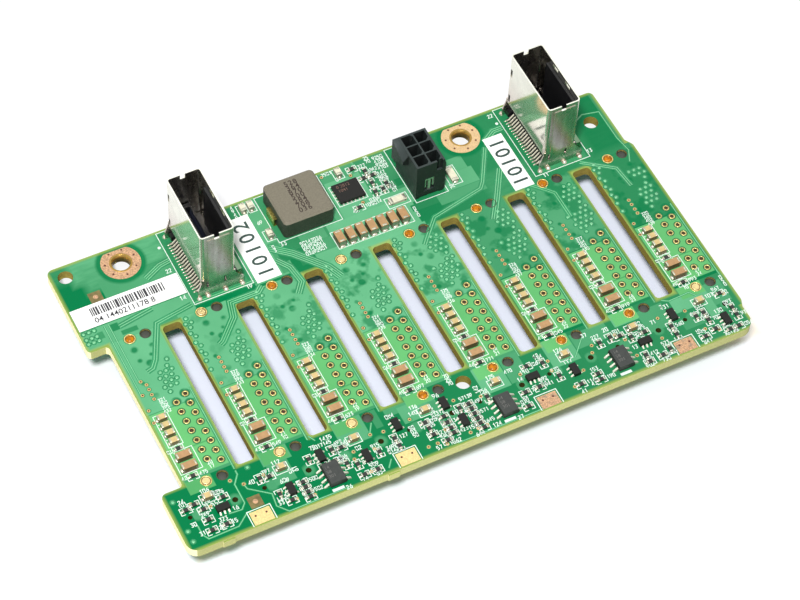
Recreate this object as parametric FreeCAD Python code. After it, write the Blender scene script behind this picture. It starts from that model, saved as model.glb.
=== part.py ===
import FreeCAD, Part
import math
import os

# Drive backplane board: a bare circuit board that eight drives plug into from below.
#
# Everything is first placed in the board's layout frame: its origin is the first power pin of
# drive bay 1 on the board's upper face, X runs along the row of bays, Y towards the edge with the
# cable sockets and Z up. place() then moves a finished shape into the part frame, whose origin is
# the centre of the bounding box on the plane that the board's drive connectors stand on.

# ---- driving dimensions, in millimetres -------------------------------------------------------
BOARD_T = 2.36               # 0.093 inch laminate
BOARD_LEFT = -12.1
BOARD_RIGHT = 119.3
BOARD_FRONT = -34.2
BOARD_BACK = 42.2
NUB_DEPTH = 0.25             # what is left of the break-off tabs on the front edge
NUB_WIDTH = 2.6
NUBS_X = (-3.7, 33.0)

SMALL_ROUND_SIDES = 8        # flat sides that stand for a small round form

BAYS = 8
BAY_PITCH = 16.35
PIN_PITCH = 1.27             # contact pitch of the drive connectors

SLOT_WIDTH = 4.2             # air slots between neighbouring bays
SLOT_X = 6.95
SLOT_BACK = 18.6
SLOT_FRONT = -19.25
SLOT_RADIUS = 1.0
SHORT_BACK_SLOT = 1          # slots that end early, counted from 0
SHORT_FRONT_SLOT = 3
SHORTENED_BY = 1.1
SHORTENED_FRONT_BY = 1.85

MOUNT_HOLES = ((3.85, 37.75), (85.4, 37.75))
MOUNT_HOLE_R = 2.1
LOCATING_HOLES = ((-8.3, 39.1), (113.8, 29.4), (55.75, -20.7))
LOCATING_HOLE_R = 1.65
LIGHT_HOLES_Y = -26.5        # two rows of small holes under the drive lights
LIGHT_HOLE_WIDE_R = 0.65
LIGHT_HOLE_WIDE_X = 1.1
LIGHT_HOLE_NARROW_R = 0.5
LIGHT_HOLE_NARROW_X = -8.75

CONNECTOR_H = 8.2            # drive connector, from the board down to its mating face
CONNECTOR_CENTRE_Y = -0.7
CONNECTOR_LENGTH = 43.0
CONNECTOR_LEFT = -3.45
CONNECTOR_RIGHT = 3.65
FLANGE_T = 2.6
LOCK_X = -2.33
LOCKS_Y = (18.7, -19.95)
LOCK_R = 1.0
PEG_X = 1.2
PEGS_Y = (18.65, -20.05)
PEG_R = 1.1
PEG_HOLE_R = 1.15
PEG_BELOW_FACE = 0.35
SOLDERED_LOCKS = (0, 2, 4, 5, 6, 7)        # bays whose rear lock is filled with solder
SOLDERED_FRONT_LOCKS = (3, 4, 5, 6)

SOCKETS_X = (81.75, 0.0)     # cable socket 1 and 2, shift from the left socket's place
SHELL_LEFT = 15.8
SHELL_RIGHT = 23.6
SHELL_FRONT = 22.2
SHELL_BACK = 39.85
SHELL_TOP = 19.75
SHELL_T = 0.3
SHELL_RADIUS = 0.8
WALL_BOTTOM = 4.6            # the side walls stop here, above the solder tails
SKIRT_LEFT = 14.95
SKIRT_RIGHT = 25.5
SKIRT_H = 2.1
LEG_X = (15.15, 17.17, 21.25, 25.1)
LEG_WIDTH = 0.7
LEG_LENGTH = 3.0
CONTACT_PITCH = 0.8
CONTACTS_PER_ROW = 18
FIRST_CONTACT_Y = 24.07

HEADER_LEFT = 68.45
HEADER_RIGHT = 75.15
HEADER_FRONT = 26.4
HEADER_BACK = 36.05
HEADER_TOP = 10.6
HEADER_PITCH = 3.0

INDUCTOR_LEFT = 38.15
INDUCTOR_FRONT = 28.6
INDUCTOR_SIZE = 11.9
INDUCTOR_TOP = 4.9

# chip parts: length, width, height
CAP_0805 = (2.0, 1.25, 1.25)
CAP_1206 = (3.2, 1.6, 1.58)
CAP_INPUT = (3.2, 1.75, 1.9)
RES_0603 = (1.55, 0.8, 0.45)
FUSE = (3.9, 1.6, 0.75)

ORIGIN_X = (BOARD_LEFT + BOARD_RIGHT) / 2
ORIGIN_Y = (BOARD_FRONT - NUB_DEPTH + BOARD_BACK) / 2
ORIGIN_Z = -(BOARD_T + CONNECTOR_H)


# ---- helpers ----------------------------------------------------------------------------------
def vec(x, y, z=0.0):
    return FreeCAD.Vector(x, y, z)


def box(x0, x1, y0, y1, z0, z1):
    return Part.makeBox(x1 - x0, y1 - y0, z1 - z0, vec(x0, y0, z0))


def post(x, y, radius, z0, z1):
    return Part.makeCylinder(radius, z1 - z0, vec(x, y, z0))


def faceted_post(x, y, radius, z0, z1):
    """A small round form drawn with flat sides; its corners lie on the radius."""
    corners = []
    for index in range(SMALL_ROUND_SIDES + 1):
        turn = (index + 0.5) * 2 * math.pi / SMALL_ROUND_SIDES
        corners.append(vec(x + radius * math.cos(turn), y + radius * math.sin(turn), z0))
    return Part.Face(Part.makePolygon(corners)).extrude(vec(0, 0, z1 - z0))


def outline(corners):
    """Closed wire in the XY plane through corners (x, y, radius), each rounded by its radius."""
    edges = []
    count = len(corners)
    ends = []
    for i in range(count):
        corner = vec(corners[i][0], corners[i][1])
        before = vec(*corners[i - 1][:2]) - corner
        after = vec(*corners[(i + 1) % count][:2]) - corner
        before.normalize()
        after.normalize()
        half = before.getAngle(after) / 2
        radius = corners[i][2]
        reach = radius / math.tan(half)
        start = corner + before * reach
        stop = corner + after * reach
        middle = before + after
        middle.normalize()
        top = corner + middle * (radius / math.sin(half) - radius)
        ends.append((start, top, stop, radius))
    for i in range(count):
        start, top, stop, radius = ends[i]
        if radius > 0:
            edges.append(Part.Arc(start, top, stop).toShape())
        edges.append(Part.LineSegment(stop, ends[(i + 1) % count][0]).toShape())
    return Part.Wire(edges)


def slab(corners, z0, z1):
    """A plate between two heights with a rounded outline."""
    face = Part.Face(outline(corners))
    face.translate(vec(0, 0, z0))
    return face.extrude(vec(0, 0, z1 - z0))


def rounded_box(x0, x1, y0, y1, z0, z1, radius):
    return slab(((x0, y0, radius), (x1, y0, radius), (x1, y1, radius), (x0, y1, radius)), z0, z1)


def prism_y(points_xz, y0, y1):
    """A polygon in the XZ plane carried from y0 to y1."""
    corners = [vec(x, y0, z) for x, z in points_xz]
    corners.append(corners[0])
    return Part.Face(Part.makePolygon(corners)).extrude(vec(0, y1 - y0, 0))


def prism_x(points_yz, x0, x1):
    """A polygon in the YZ plane carried from x0 to x1."""
    corners = [vec(x0, y, z) for y, z in points_yz]
    corners.append(corners[0])
    return Part.Face(Part.makePolygon(corners)).extrude(vec(x1 - x0, 0, 0))


def fuse(solids):
    return solids[0].multiFuse(solids[1:]).removeSplitter()


def moved(shape, x, y=0.0, z=0.0):
    copy = shape.copy()
    copy.translate(vec(x, y, z))
    return copy


def place(node, solids):
    """Move the solids of one node into the part frame and write them."""
    shape = solids[0] if len(solids) == 1 else Part.makeCompound(solids)
    shape = moved(shape, -ORIGIN_X, -ORIGIN_Y, -ORIGIN_Z)
    shape.exportStep("parts/" + node + ".step")


def bay_x(bay):
    return bay * BAY_PITCH


# ---- circuit board ----------------------------------------------------------------------------
def board_outline():
    """The routed outline: ears at both left corners, a step in the back edge at the right."""
    return (
        (BOARD_LEFT, BOARD_FRONT, 2.5),
        (118.6, BOARD_FRONT, 2.8),
        (118.6, -28.6, 1.0),
        (BOARD_RIGHT, -27.0, 1.0),
        (BOARD_RIGHT, 20.0, 1.0),
        (118.15, 21.9, 1.0),
        (118.15, 37.3, 1.2),
        (111.0, 37.3, 1.0),
        (111.0, BOARD_BACK, 1.0),
        (-11.6, BOARD_BACK, 1.5),
        (-11.6, 18.9, 1.0),
        (-7.1, 18.9, 1.0),
        (-7.1, -19.2, 0.8),
        (BOARD_LEFT, -19.2, 1.2),
    )


def air_slot(index):
    """The opening between two bays that cooling air is drawn through."""
    x = SLOT_X + bay_x(index)
    back = SLOT_BACK - (SHORTENED_BY if index == SHORT_BACK_SLOT else 0)
    front = SLOT_FRONT + (SHORTENED_FRONT_BY if index == SHORT_FRONT_SLOT else 0)
    half = SLOT_WIDTH / 2
    return rounded_box(x - half, x + half, front, back, -BOARD_T - 1, 1, SLOT_RADIUS)


def hole(x, y, radius):
    return post(x, y, radius, -BOARD_T - 1, 1)


def small_hole(x, y, radius):
    return faceted_post(x, y, radius, -BOARD_T - 1, 1)


def leg_slot(x, y):
    half = LEG_WIDTH / 2
    return box(x - half, x + half, y, y + SHELL_T, -BOARD_T - 1, 1)


def header_pin_places():
    middle_x = (HEADER_LEFT + HEADER_RIGHT) / 2
    middle_y = (HEADER_FRONT + HEADER_BACK) / 2
    places = []
    for column in (-0.5, 0.5):
        for row in (-1, 0, 1):
            places.append((middle_x + column * HEADER_PITCH, middle_y + row * HEADER_PITCH))
    return places


def circuit_board():
    board = slab(board_outline(), -BOARD_T, 0)
    nubs = []
    for x in NUBS_X:
        half = NUB_WIDTH / 2
        nubs.append(box(x - half, x + half, BOARD_FRONT - NUB_DEPTH, BOARD_FRONT, -BOARD_T, -0.4))
    board = fuse([board] + nubs)
    cuts = [air_slot(index) for index in range(BAYS - 1)]
    cuts += [hole(x, y, MOUNT_HOLE_R) for x, y in MOUNT_HOLES]
    cuts += [hole(x, y, LOCATING_HOLE_R) for x, y in LOCATING_HOLES]
    for bay in range(BAYS):
        cuts.append(small_hole(LIGHT_HOLE_WIDE_X + bay_x(bay), LIGHT_HOLES_Y, LIGHT_HOLE_WIDE_R))
        cuts.append(small_hole(LIGHT_HOLE_NARROW_X + bay_x(bay), LIGHT_HOLES_Y, LIGHT_HOLE_NARROW_R))
        for y in LOCKS_Y:
            cuts.append(small_hole(LOCK_X + bay_x(bay), y, LOCK_R))
        for y in PEGS_Y:
            cuts.append(small_hole(PEG_X + bay_x(bay), y, PEG_HOLE_R))
    for shift in SOCKETS_X:
        for x in LEG_X:
            cuts.append(leg_slot(x + shift, SHELL_FRONT))
            cuts.append(leg_slot(x + shift, SHELL_BACK - SHELL_T))
    cuts += [header_pin(x, y) for x, y in header_pin_places()]
    return board.cut(Part.makeCompound(cuts))


# ---- drive connectors -------------------------------------------------------------------------
SEAT_Z = -BOARD_T                          # underside of the board
MATING_Z = -BOARD_T - CONNECTOR_H
SHROUD_END = 3.4                           # the shroud stops this far from the flange's ends
SHROUD_INSET = 0.45
CAVITY_LEFT = -1.15
CAVITY_RIGHT = 1.35
CAVITY_FRONT = -17.6
CAVITY_BACK = 16.3
CAVITY_DEPTH = 5.2
KEY_Y = 4.45                               # middle of the gap between the two contact groups
KEY_HALF = 2.6
KEY_DEPTH = 0.75
GUIDE_WIDTH = 2.4
GUIDE_DEPTH = 4.6
GUIDE_LENGTH = 1.9
POWER_CONTACTS = 15
SIGNAL_CONTACTS = 7
SIGNAL_FIRST_Y = PIN_PITCH + 6.35
FINE_PITCH = 0.8
SPRING_BULGE = 0.35
SPRING_TOP = 0.3
SPRING_LENGTH = 4.4
SPRING_WIDTH = 0.6
FINE_SPRING_WIDTH = 0.4


def drive_connector():
    """Vertical drive receptacle: flange, shroud with its long keyed cavity, end guides, pegs."""
    half = CONNECTOR_LENGTH / 2
    front = CONNECTOR_CENTRE_Y - half
    back = CONNECTOR_CENTRE_Y + half
    flange = box(CONNECTOR_LEFT, CONNECTOR_RIGHT, front, back, SEAT_Z - FLANGE_T, SEAT_Z)
    left = CONNECTOR_LEFT + SHROUD_INSET
    right = CONNECTOR_RIGHT - SHROUD_INSET
    lip = 0.5
    profile = (
        (left, SEAT_Z - FLANGE_T),
        (left, MATING_Z + lip),
        (left + lip, MATING_Z),
        (right - lip, MATING_Z),
        (right, MATING_Z + lip),
        (right, SEAT_Z - FLANGE_T),
    )
    shroud = prism_y(profile, front + SHROUD_INSET, back - SHROUD_INSET)
    pegs = [faceted_post(PEG_X, y, PEG_R, SEAT_Z, -PEG_BELOW_FACE) for y in PEGS_Y]
    body = fuse([flange, shroud] + pegs)
    below = MATING_Z - 1
    floor = MATING_Z + CAVITY_DEPTH
    wide = box(CAVITY_LEFT, CAVITY_RIGHT, CAVITY_FRONT, CAVITY_BACK, below, floor)
    key = box(CAVITY_RIGHT - KEY_DEPTH, CAVITY_RIGHT, KEY_Y - KEY_HALF, KEY_Y + KEY_HALF, below, floor)
    guide_left = (CAVITY_LEFT + CAVITY_RIGHT - GUIDE_WIDTH) / 2
    guides = []
    for y in (front + 1.2, back - 1.2 - GUIDE_LENGTH):
        guides.append(box(guide_left, guide_left + GUIDE_WIDTH, y, y + GUIDE_LENGTH,
                          below, MATING_Z + GUIDE_DEPTH))
    return body.cut(Part.makeCompound([wide.cut(key)] + guides))


def spring_contact(wall_x, bulge, y, width):
    """A bowed contact on a cavity wall: foot and tip touch the wall, its middle stands out."""
    top = MATING_Z + CAVITY_DEPTH
    low = top - SPRING_LENGTH
    middle = (top + low) / 2 - SPRING_TOP
    points = ((wall_x, top), (wall_x + bulge, middle), (wall_x, low))
    return prism_y(points, y - width / 2, y + width / 2)


def drive_contacts():
    """Power and first-port contacts on the right wall, second-port contacts on the left wall."""
    springs = []
    for index in range(POWER_CONTACTS):
        y = PIN_PITCH * (1 - index)
        springs.append(spring_contact(CAVITY_RIGHT, -SPRING_BULGE, y, SPRING_WIDTH))
    for index in range(SIGNAL_CONTACTS):
        y = SIGNAL_FIRST_Y + index * PIN_PITCH
        springs.append(spring_contact(CAVITY_RIGHT, -SPRING_BULGE, y, SPRING_WIDTH))
    first = KEY_Y - FINE_PITCH * (SIGNAL_CONTACTS - 1) / 2
    for index in range(SIGNAL_CONTACTS):
        y = first + index * FINE_PITCH
        springs.append(spring_contact(CAVITY_LEFT, SPRING_BULGE, y, FINE_SPRING_WIDTH))
    return springs


def board_lock(bay, y):
    """The metal hold-down in its plated hole, level with the board's upper face."""
    return faceted_post(LOCK_X + bay_x(bay), y, LOCK_R, SEAT_Z, 0)


def board_locks(soldered):
    locks = []
    for bay in range(BAYS):
        if (bay in SOLDERED_LOCKS) == soldered:
            locks.append(board_lock(bay, LOCKS_Y[0]))
        if (bay in SOLDERED_FRONT_LOCKS) == soldered:
            locks.append(board_lock(bay, LOCKS_Y[1]))
    return locks


# ---- cable sockets ----------------------------------------------------------------------------
NOTCH_LEFT = 18.95
NOTCH_RIGHT = 20.1
NOTCH_DEPTH = 1.3
WINDOW_Z = (18.55, 19.2)
WINDOWS_Y = ((26.6, 28.7), (31.9, 34.1))
SLIT_Y = (38.3, 39.0)
SLITS_Z = ((5.4, 7.6), (13.7, 16.0))
RELIEF_X = (17.17, 21.25)
RELIEF_WIDTH = 0.5
RELIEF_Z = (2.7, 4.5)
PANEL_X = (17.3, 22.4)
PANEL_Z = (5.2, 18.6)
PANEL_RAISE = 0.15
LATCH_PLATE_T = 0.22
LATCH_PLATE_Z = (11.0, 19.4)
LATCH_PLATE_Y = (24.0, 38.0)
MOULD_LEFT = 16.9
MOULD_RIGHT = 22.9
MOULD_BASE_RIGHT = 25.2
MOULD_SLOPE = 0.7            # how far the foot's left side leans in
MOULD_LIFT = 0.25
MOULD_FLOOR = 5.4            # floor of the well beside the tongue
LEDGE_LEFT = 16.15           # sloping ledge under the tails
LEDGE_TOP = 1.0
EAR_LEFT = 15.85             # blocks at both ends of the tails
EAR_TOP = 1.75
EAR_Y = ((22.6, 23.7), (38.3, 39.45))
TONGUE_RIGHT = 20.65
TONGUE_TOP = 10.0
LINER_RIGHT = 23.25
LINER_TOP = 17.9
LINER_Y = (23.8, 35.9)
CARD_SLOT_X = (19.3, 20.35)
CARD_SLOT_Y = (23.6, 38.2)
CARD_SLOT_DEPTH = 6.0
CARD_SPRING_BULGE = 0.25
CARD_SPRING_LENGTH = 5.0
TAIL_WIDTH = 0.28
TAIL_T = 0.2


def skirt(y0, y1):
    """One end wall's flared foot, with its four solder legs and two relief slots."""
    left_flare = (SHELL_LEFT, WALL_BOTTOM + SHELL_RADIUS)
    right_flare = (SHELL_RIGHT, WALL_BOTTOM + SHELL_RADIUS)
    profile = (
        left_flare,
        (SHELL_LEFT, WALL_BOTTOM),
        (SKIRT_LEFT, SKIRT_H),
        (SKIRT_LEFT, 0),
        (SKIRT_RIGHT, 0),
        (SKIRT_RIGHT, SKIRT_H),
        (SHELL_RIGHT, WALL_BOTTOM),
        right_flare,
    )
    plate = prism_y(profile, y0, y1)
    legs = []
    for x in LEG_X:
        legs.append(box(x - LEG_WIDTH / 2, x + LEG_WIDTH / 2, y0, y1, -LEG_LENGTH, 0))
    slots = []
    for x in RELIEF_X:
        slots.append(box(x - RELIEF_WIDTH / 2, x + RELIEF_WIDTH / 2, y0 - 1, y1 + 1, *RELIEF_Z))
    return fuse([plate] + legs).cut(Part.makeCompound(slots))


def socket_shell():
    """Folded sheet shell: a rounded tube on two flared skirts, notched, windowed and embossed."""
    outer = rounded_box(SHELL_LEFT, SHELL_RIGHT, SHELL_FRONT, SHELL_BACK,
                        WALL_BOTTOM, SHELL_TOP, SHELL_RADIUS)
    inner = rounded_box(SHELL_LEFT + SHELL_T, SHELL_RIGHT - SHELL_T,
                        SHELL_FRONT + SHELL_T, SHELL_BACK - SHELL_T,
                        WALL_BOTTOM - 1, SHELL_TOP + 1, SHELL_RADIUS - SHELL_T)
    front = skirt(SHELL_FRONT, SHELL_FRONT + SHELL_T)
    back = skirt(SHELL_BACK - SHELL_T, SHELL_BACK)
    panels = [
        box(*PANEL_X, SHELL_FRONT - PANEL_RAISE, SHELL_FRONT + SHELL_T / 2, *PANEL_Z),
        box(*PANEL_X, SHELL_BACK - SHELL_T / 2, SHELL_BACK + PANEL_RAISE, *PANEL_Z),
    ]
    latch_plate = box(SHELL_RIGHT - SHELL_T / 2, SHELL_RIGHT + LATCH_PLATE_T, *LATCH_PLATE_Y, *LATCH_PLATE_Z)
    cuts = [box(NOTCH_LEFT, NOTCH_RIGHT, SHELL_FRONT - 1, SHELL_BACK + 1,
                SHELL_TOP - NOTCH_DEPTH, SHELL_TOP + 1)]
    for y0, y1 in WINDOWS_Y:
        cuts.append(box(SHELL_RIGHT - 1, SHELL_RIGHT + 1, y0, y1, *WINDOW_Z))
    for z0, z1 in SLITS_Z:
        cuts.append(box(SHELL_LEFT - 1, SHELL_LEFT + 1, *SLIT_Y, z0, z1))
    shell = fuse([outer.cut(inner), front, back, latch_plate] + panels)
    return shell.cut(Part.makeCompound(cuts))


def socket_moulding():
    """Black insulator: foot with a ledge and ears for the tails, tongue with the card slot, liner."""
    low = SHELL_FRONT + SHELL_T
    high = SHELL_BACK - SHELL_T
    top = WALL_BOTTOM - 0.1
    foot_profile = (
        (LEDGE_LEFT, MOULD_LIFT),
        (MOULD_LEFT, LEDGE_TOP),
        (MOULD_LEFT, EAR_TOP),
        (MOULD_LEFT + MOULD_SLOPE, top),
        (MOULD_BASE_RIGHT, top),
        (MOULD_BASE_RIGHT, MOULD_LIFT),
    )
    foot = prism_y(foot_profile, low, high)
    gap = 0.3
    left = MOULD_LEFT + MOULD_SLOPE
    floor = box(left, MOULD_RIGHT, low + gap, high - gap, MOULD_LIFT, MOULD_FLOOR)
    tongue = box(left, TONGUE_RIGHT, low + gap, high - gap, MOULD_LIFT, TONGUE_TOP)
    liner = box(MOULD_RIGHT - gap, LINER_RIGHT, *LINER_Y, MOULD_LIFT, LINER_TOP)
    ears = [box(EAR_LEFT, MOULD_LEFT + gap, y0, y1, MOULD_LIFT, EAR_TOP) for y0, y1 in EAR_Y]
    feet = []
    for x in (MOULD_LEFT + 1.2, MOULD_BASE_RIGHT - 1.2):
        for y in (low + 1.2, high - 1.2):
            feet.append(box(x - 0.5, x + 0.5, y - 0.5, y + 0.5, 0, MOULD_LIFT))
    slot = box(*CARD_SLOT_X, *CARD_SLOT_Y, TONGUE_TOP - CARD_SLOT_DEPTH, TONGUE_TOP + 1)
    return fuse([foot, floor, tongue, liner] + ears + feet).cut(slot)


def socket_contacts():
    """Both rows of contacts: springs in the card slot, and the left row's gull-wing tails."""
    tail = (
        (SKIRT_LEFT, 0.0),
        (15.75, 0.0),
        (MOULD_LEFT, 1.2),
        (MOULD_LEFT, 1.5),
        (15.6, TAIL_T),
        (SKIRT_LEFT, TAIL_T),
    )
    spring_top = TONGUE_TOP - 0.2
    spring_bottom = spring_top - CARD_SPRING_LENGTH
    bowed = TONGUE_TOP - 1.6
    solids = []
    for index in range(CONTACTS_PER_ROW):
        y = FIRST_CONTACT_Y + index * CONTACT_PITCH
        y0 = y - TAIL_WIDTH / 2
        y1 = y + TAIL_WIDTH / 2
        solids.append(prism_y(tail, y0, y1))
        for wall_x, bulge in ((CARD_SLOT_X[0], CARD_SPRING_BULGE), (CARD_SLOT_X[1], -CARD_SPRING_BULGE)):
            spring = ((wall_x, spring_top), (wall_x, spring_bottom), (wall_x + bulge, bowed))
            solids.append(prism_y(spring, y0, y1))
    return solids


# ---- power header -----------------------------------------------------------------------------
HEADER_LIFT = 0.4
HEADER_PIN = 0.64
PIN_BELOW = 0.8              # a header pin's tip under the board
PIN_SUNK = 2.6               # and its other tip below the header's rim
CAVITY_HALF = 1.33
CAVITY_KEY = 0.75            # cut corner of a keyed cavity, right column and left column
CAVITY_KEY_SMALL = 0.5
HEADER_CAVITY_DEPTH = 7.6
CLIP_X = (70.55, 72.85)
CLIP_Z = (1.9, 5.9)          # window that shows the clip
CLIP_BAR = 0.75
CLIP_BARB_Z = 2.9
CLIP_LEG = 0.4
CLIP_STEM_X = (71.38, 72.02)
CLIP_GROOVE = 0.45
CLIP_T = 0.25
HEADER_NOTCH_X = (73.3, 74.7)
HEADER_NOTCH_Z = 7.6
HEADER_NOTCH_DEPTH = 0.5
RIB_T = 0.35


def header_cavity(x, y, key, side):
    """One terminal cavity: square, with one of its right corners cut off; side is 1 at the back."""
    h = CAVITY_HALF
    corners = [(x - h, y - h, 0), (x + h - key, y - h, 0), (x + h, y - h + key, 0),
               (x + h, y + h, 0), (x - h, y + h, 0)]
    if side > 0:
        corners = [(x - h, y - h, 0), (x + h, y - h, 0), (x + h, y + h - key, 0),
                   (x + h - key, y + h, 0), (x - h, y + h, 0)]
    return slab(corners, HEADER_TOP - HEADER_CAVITY_DEPTH, HEADER_TOP + 1)


def header_cavities():
    """All six; only the back one of the left column is keyed towards the back."""
    places = header_pin_places()
    left = [header_cavity(x, y, CAVITY_KEY_SMALL, -1) for x, y in places[:2]]
    turned = header_cavity(*places[2], CAVITY_KEY_SMALL, 1)
    right = [header_cavity(x, y, CAVITY_KEY, -1) for x, y in places[3:]]
    return left + [turned] + right


def header_pin(x, y):
    """A square pin from its cavity through the moulding's floor and the board."""
    half = HEADER_PIN / 2
    return box(x - half, x + half, y - half, y + half, -BOARD_T - PIN_BELOW, HEADER_TOP - PIN_SUNK)


def latch_ramp():
    """The wedge on the left side that the plug's latch snaps over."""
    back = (
        vec(HEADER_LEFT, HEADER_BACK, HEADER_TOP),
        vec(HEADER_LEFT - 1.2, HEADER_BACK, HEADER_TOP),
        vec(HEADER_LEFT - 1.2, HEADER_BACK, 4.4),
        vec(HEADER_LEFT, HEADER_BACK, 2.0),
    )
    front = (
        vec(HEADER_LEFT, 30.6, HEADER_TOP - 0.2),
        vec(HEADER_LEFT - 1.3, 30.6, 8.7),
        vec(HEADER_LEFT - 1.3, 30.6, 7.9),
        vec(HEADER_LEFT, 30.6, 7.3),
    )
    wires = [Part.makePolygon(list(points) + [points[0]]) for points in (back, front)]
    return Part.makeLoft(wires, True, True)


def power_header():
    """Two-by-three wire-to-board header moulding."""
    block = box(HEADER_LEFT, HEADER_RIGHT, HEADER_FRONT, HEADER_BACK, HEADER_LIFT, HEADER_TOP)
    rib = prism_y(((HEADER_RIGHT, HEADER_LIFT), (HEADER_RIGHT + RIB_T, HEADER_LIFT),
                   (HEADER_RIGHT + RIB_T, HEADER_TOP - 1.4), (HEADER_RIGHT, HEADER_TOP - 0.2)),
                  HEADER_FRONT, HEADER_BACK)
    feet = []
    for x in (HEADER_LEFT + 0.5, HEADER_RIGHT - 0.5):
        for y in (HEADER_FRONT + 0.5, HEADER_BACK - 0.5):
            feet.append(box(x - 0.5, x + 0.5, y - 0.5, y + 0.5, 0, HEADER_LIFT))
    cuts = header_cavities() + header_pins()
    for y0, y1 in ((HEADER_FRONT - 1, HEADER_FRONT + CLIP_GROOVE),
                   (HEADER_BACK - CLIP_GROOVE, HEADER_BACK + 1)):
        cuts.append(box(*CLIP_X, y0, y1, *CLIP_Z))
    for y0 in clip_planes():
        cuts.append(box(*CLIP_STEM_X, y0, y0 + CLIP_T, HEADER_LIFT - 1, CLIP_Z[0] + 1))
    cuts.append(box(*HEADER_NOTCH_X, HEADER_FRONT - 1, HEADER_FRONT + HEADER_NOTCH_DEPTH,
                    HEADER_NOTCH_Z, HEADER_TOP + 1))
    return fuse([block, rib, latch_ramp()] + feet).cut(Part.makeCompound(cuts))


def header_pins():
    return [header_pin(x, y) for x, y in header_pin_places()]


def clip_planes():
    """Front face of each clip's sheet, at the front and at the back of the header."""
    return HEADER_FRONT + CLIP_GROOVE - CLIP_T, HEADER_BACK - CLIP_GROOVE


def header_clip(y0):
    """Retention clip: a bar with two barbs, and a stem that runs down inside the moulding."""
    y1 = y0 + CLIP_T
    bar_z = CLIP_Z[1] - CLIP_BAR
    bar = box(*CLIP_X, y0, y1, bar_z, CLIP_Z[1])
    barbs = [box(x, x + CLIP_LEG, y0, y1, CLIP_BARB_Z, bar_z) for x in (CLIP_X[0], CLIP_X[1] - CLIP_LEG)]
    stem = box(*CLIP_STEM_X, y0, y1, 0, bar_z)
    return fuse([bar, stem] + barbs)


def header_clips():
    return [header_clip(y0) for y0 in clip_planes()]


# ---- inductor ---------------------------------------------------------------------------------
TERMINAL_Y = (32.8, 36.5)
TERMINAL_REACH = 0.75
TERMINAL_T = 0.2
TERMINAL_TOP = 2.2
INDUCTOR_LIFT = 0.2
INDUCTOR_EDGE = 0.35


def inductor_body():
    """Pressed powder block with rounded corners and a softened upper edge."""
    right = INDUCTOR_LEFT + INDUCTOR_SIZE
    back = INDUCTOR_FRONT + INDUCTOR_SIZE
    block = rounded_box(INDUCTOR_LEFT, right, INDUCTOR_FRONT, back, INDUCTOR_LIFT, INDUCTOR_TOP, 1.0)
    rim = [edge for edge in block.Edges
           if edge.BoundBox.ZMin > INDUCTOR_TOP - 0.01]
    return block.makeChamfer(INDUCTOR_EDGE, rim)


def inductor_terminals():
    """A strap on each side: out of the block, down, and under it onto the board."""
    right = INDUCTOR_LEFT + INDUCTOR_SIZE
    straps = []
    for face, side in ((INDUCTOR_LEFT, -1), (right, 1)):
        out = face + side * TERMINAL_REACH
        tucked = face - side * 1.6
        profile = (
            (face, TERMINAL_TOP),
            (out, TERMINAL_TOP),
            (out, 0),
            (tucked, 0),
            (tucked, TERMINAL_T),
            (out - side * TERMINAL_T, TERMINAL_T),
            (out - side * TERMINAL_T, TERMINAL_TOP - TERMINAL_T),
            (face, TERMINAL_TOP - TERMINAL_T),
        )
        straps.append(prism_y(profile, *TERMINAL_Y))
    return straps


# ---- chips ------------------------------------------------------------------------------------
REGULATOR = (53.1, 59.1, 31.9, 36.9)       # left, right, front, back
REGULATOR_H = 0.95
REGULATOR_PADS = 6
REGULATOR_PITCH = 0.95
SOIC_X = (21.45, 60.85, 88.25)
SOIC_Y = -29.85
SOIC_W = 3.9
SOIC_L = 4.95
SOIC_H = 1.6
SOIC_PITCH = 1.27
SOIC_REACH = 1.05
SMALL_CHIPS = (                            # x, y, quarter-turned
    (-2.0, -27.4, True), (12.2, -29.3, False), (20.95, -24.7, False), (29.5, -28.7, False),
    (38.3, -24.5, False), (49.5, -24.0, False), (51.4, -29.4, False), (69.3, -25.9, True),
    (78.1, -28.1, False), (95.0, -28.0, True), (103.6, -24.5, False), (113.5, -30.2, False),
)
SMALL_CHIP = (1.5, 2.8, 1.05)              # across the leads, along the body, height
SMALL_CHIP_LIFT = 0.1
SMALL_LEAD_STEP = 0.95
SMALL_LEAD = (0.6, 0.38, 0.4)              # reach, width, height at the root


def regulator_chip():
    x0, x1, y0, y1 = REGULATOR
    return box(x0, x1, y0, y1, 0.02, REGULATOR_H)


def regulator_pads():
    """Solder-wetted pads that show round the foot of the leadless package."""
    x0, x1, y0, y1 = REGULATOR
    middle_x = (x0 + x1) / 2
    middle_y = (y0 + y1) / 2
    half = 0.17
    reach = 0.35
    pads = []
    for index in range(REGULATOR_PADS):
        x = middle_x + (index - (REGULATOR_PADS - 1) / 2) * REGULATOR_PITCH
        pads.append(box(x - half, x + half, y0 - reach, y0, 0, 0.2))
        pads.append(box(x - half, x + half, y1, y1 + reach, 0, 0.2))
    for index in range(REGULATOR_PADS - 2):
        y = middle_y + (index - (REGULATOR_PADS - 3) / 2) * REGULATOR_PITCH
        pads.append(box(x0 - reach, x0, y - half, y + half, 0, 0.2))
        pads.append(box(x1, x1 + reach, y - half, y + half, 0, 0.2))
    return pads


def soic_body(x):
    """Eight-lead package: both long sides slope in above and below the lead line."""
    half = SOIC_W / 2
    draft = 0.25
    lead_z = 0.85
    profile = (
        (x - half + draft, 0.15),
        (x + half - draft, 0.15),
        (x + half, lead_z),
        (x + half - draft, SOIC_H),
        (x - half + draft, SOIC_H),
        (x - half, lead_z),
    )
    return prism_y(profile, SOIC_Y - SOIC_L / 2, SOIC_Y + SOIC_L / 2)


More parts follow.
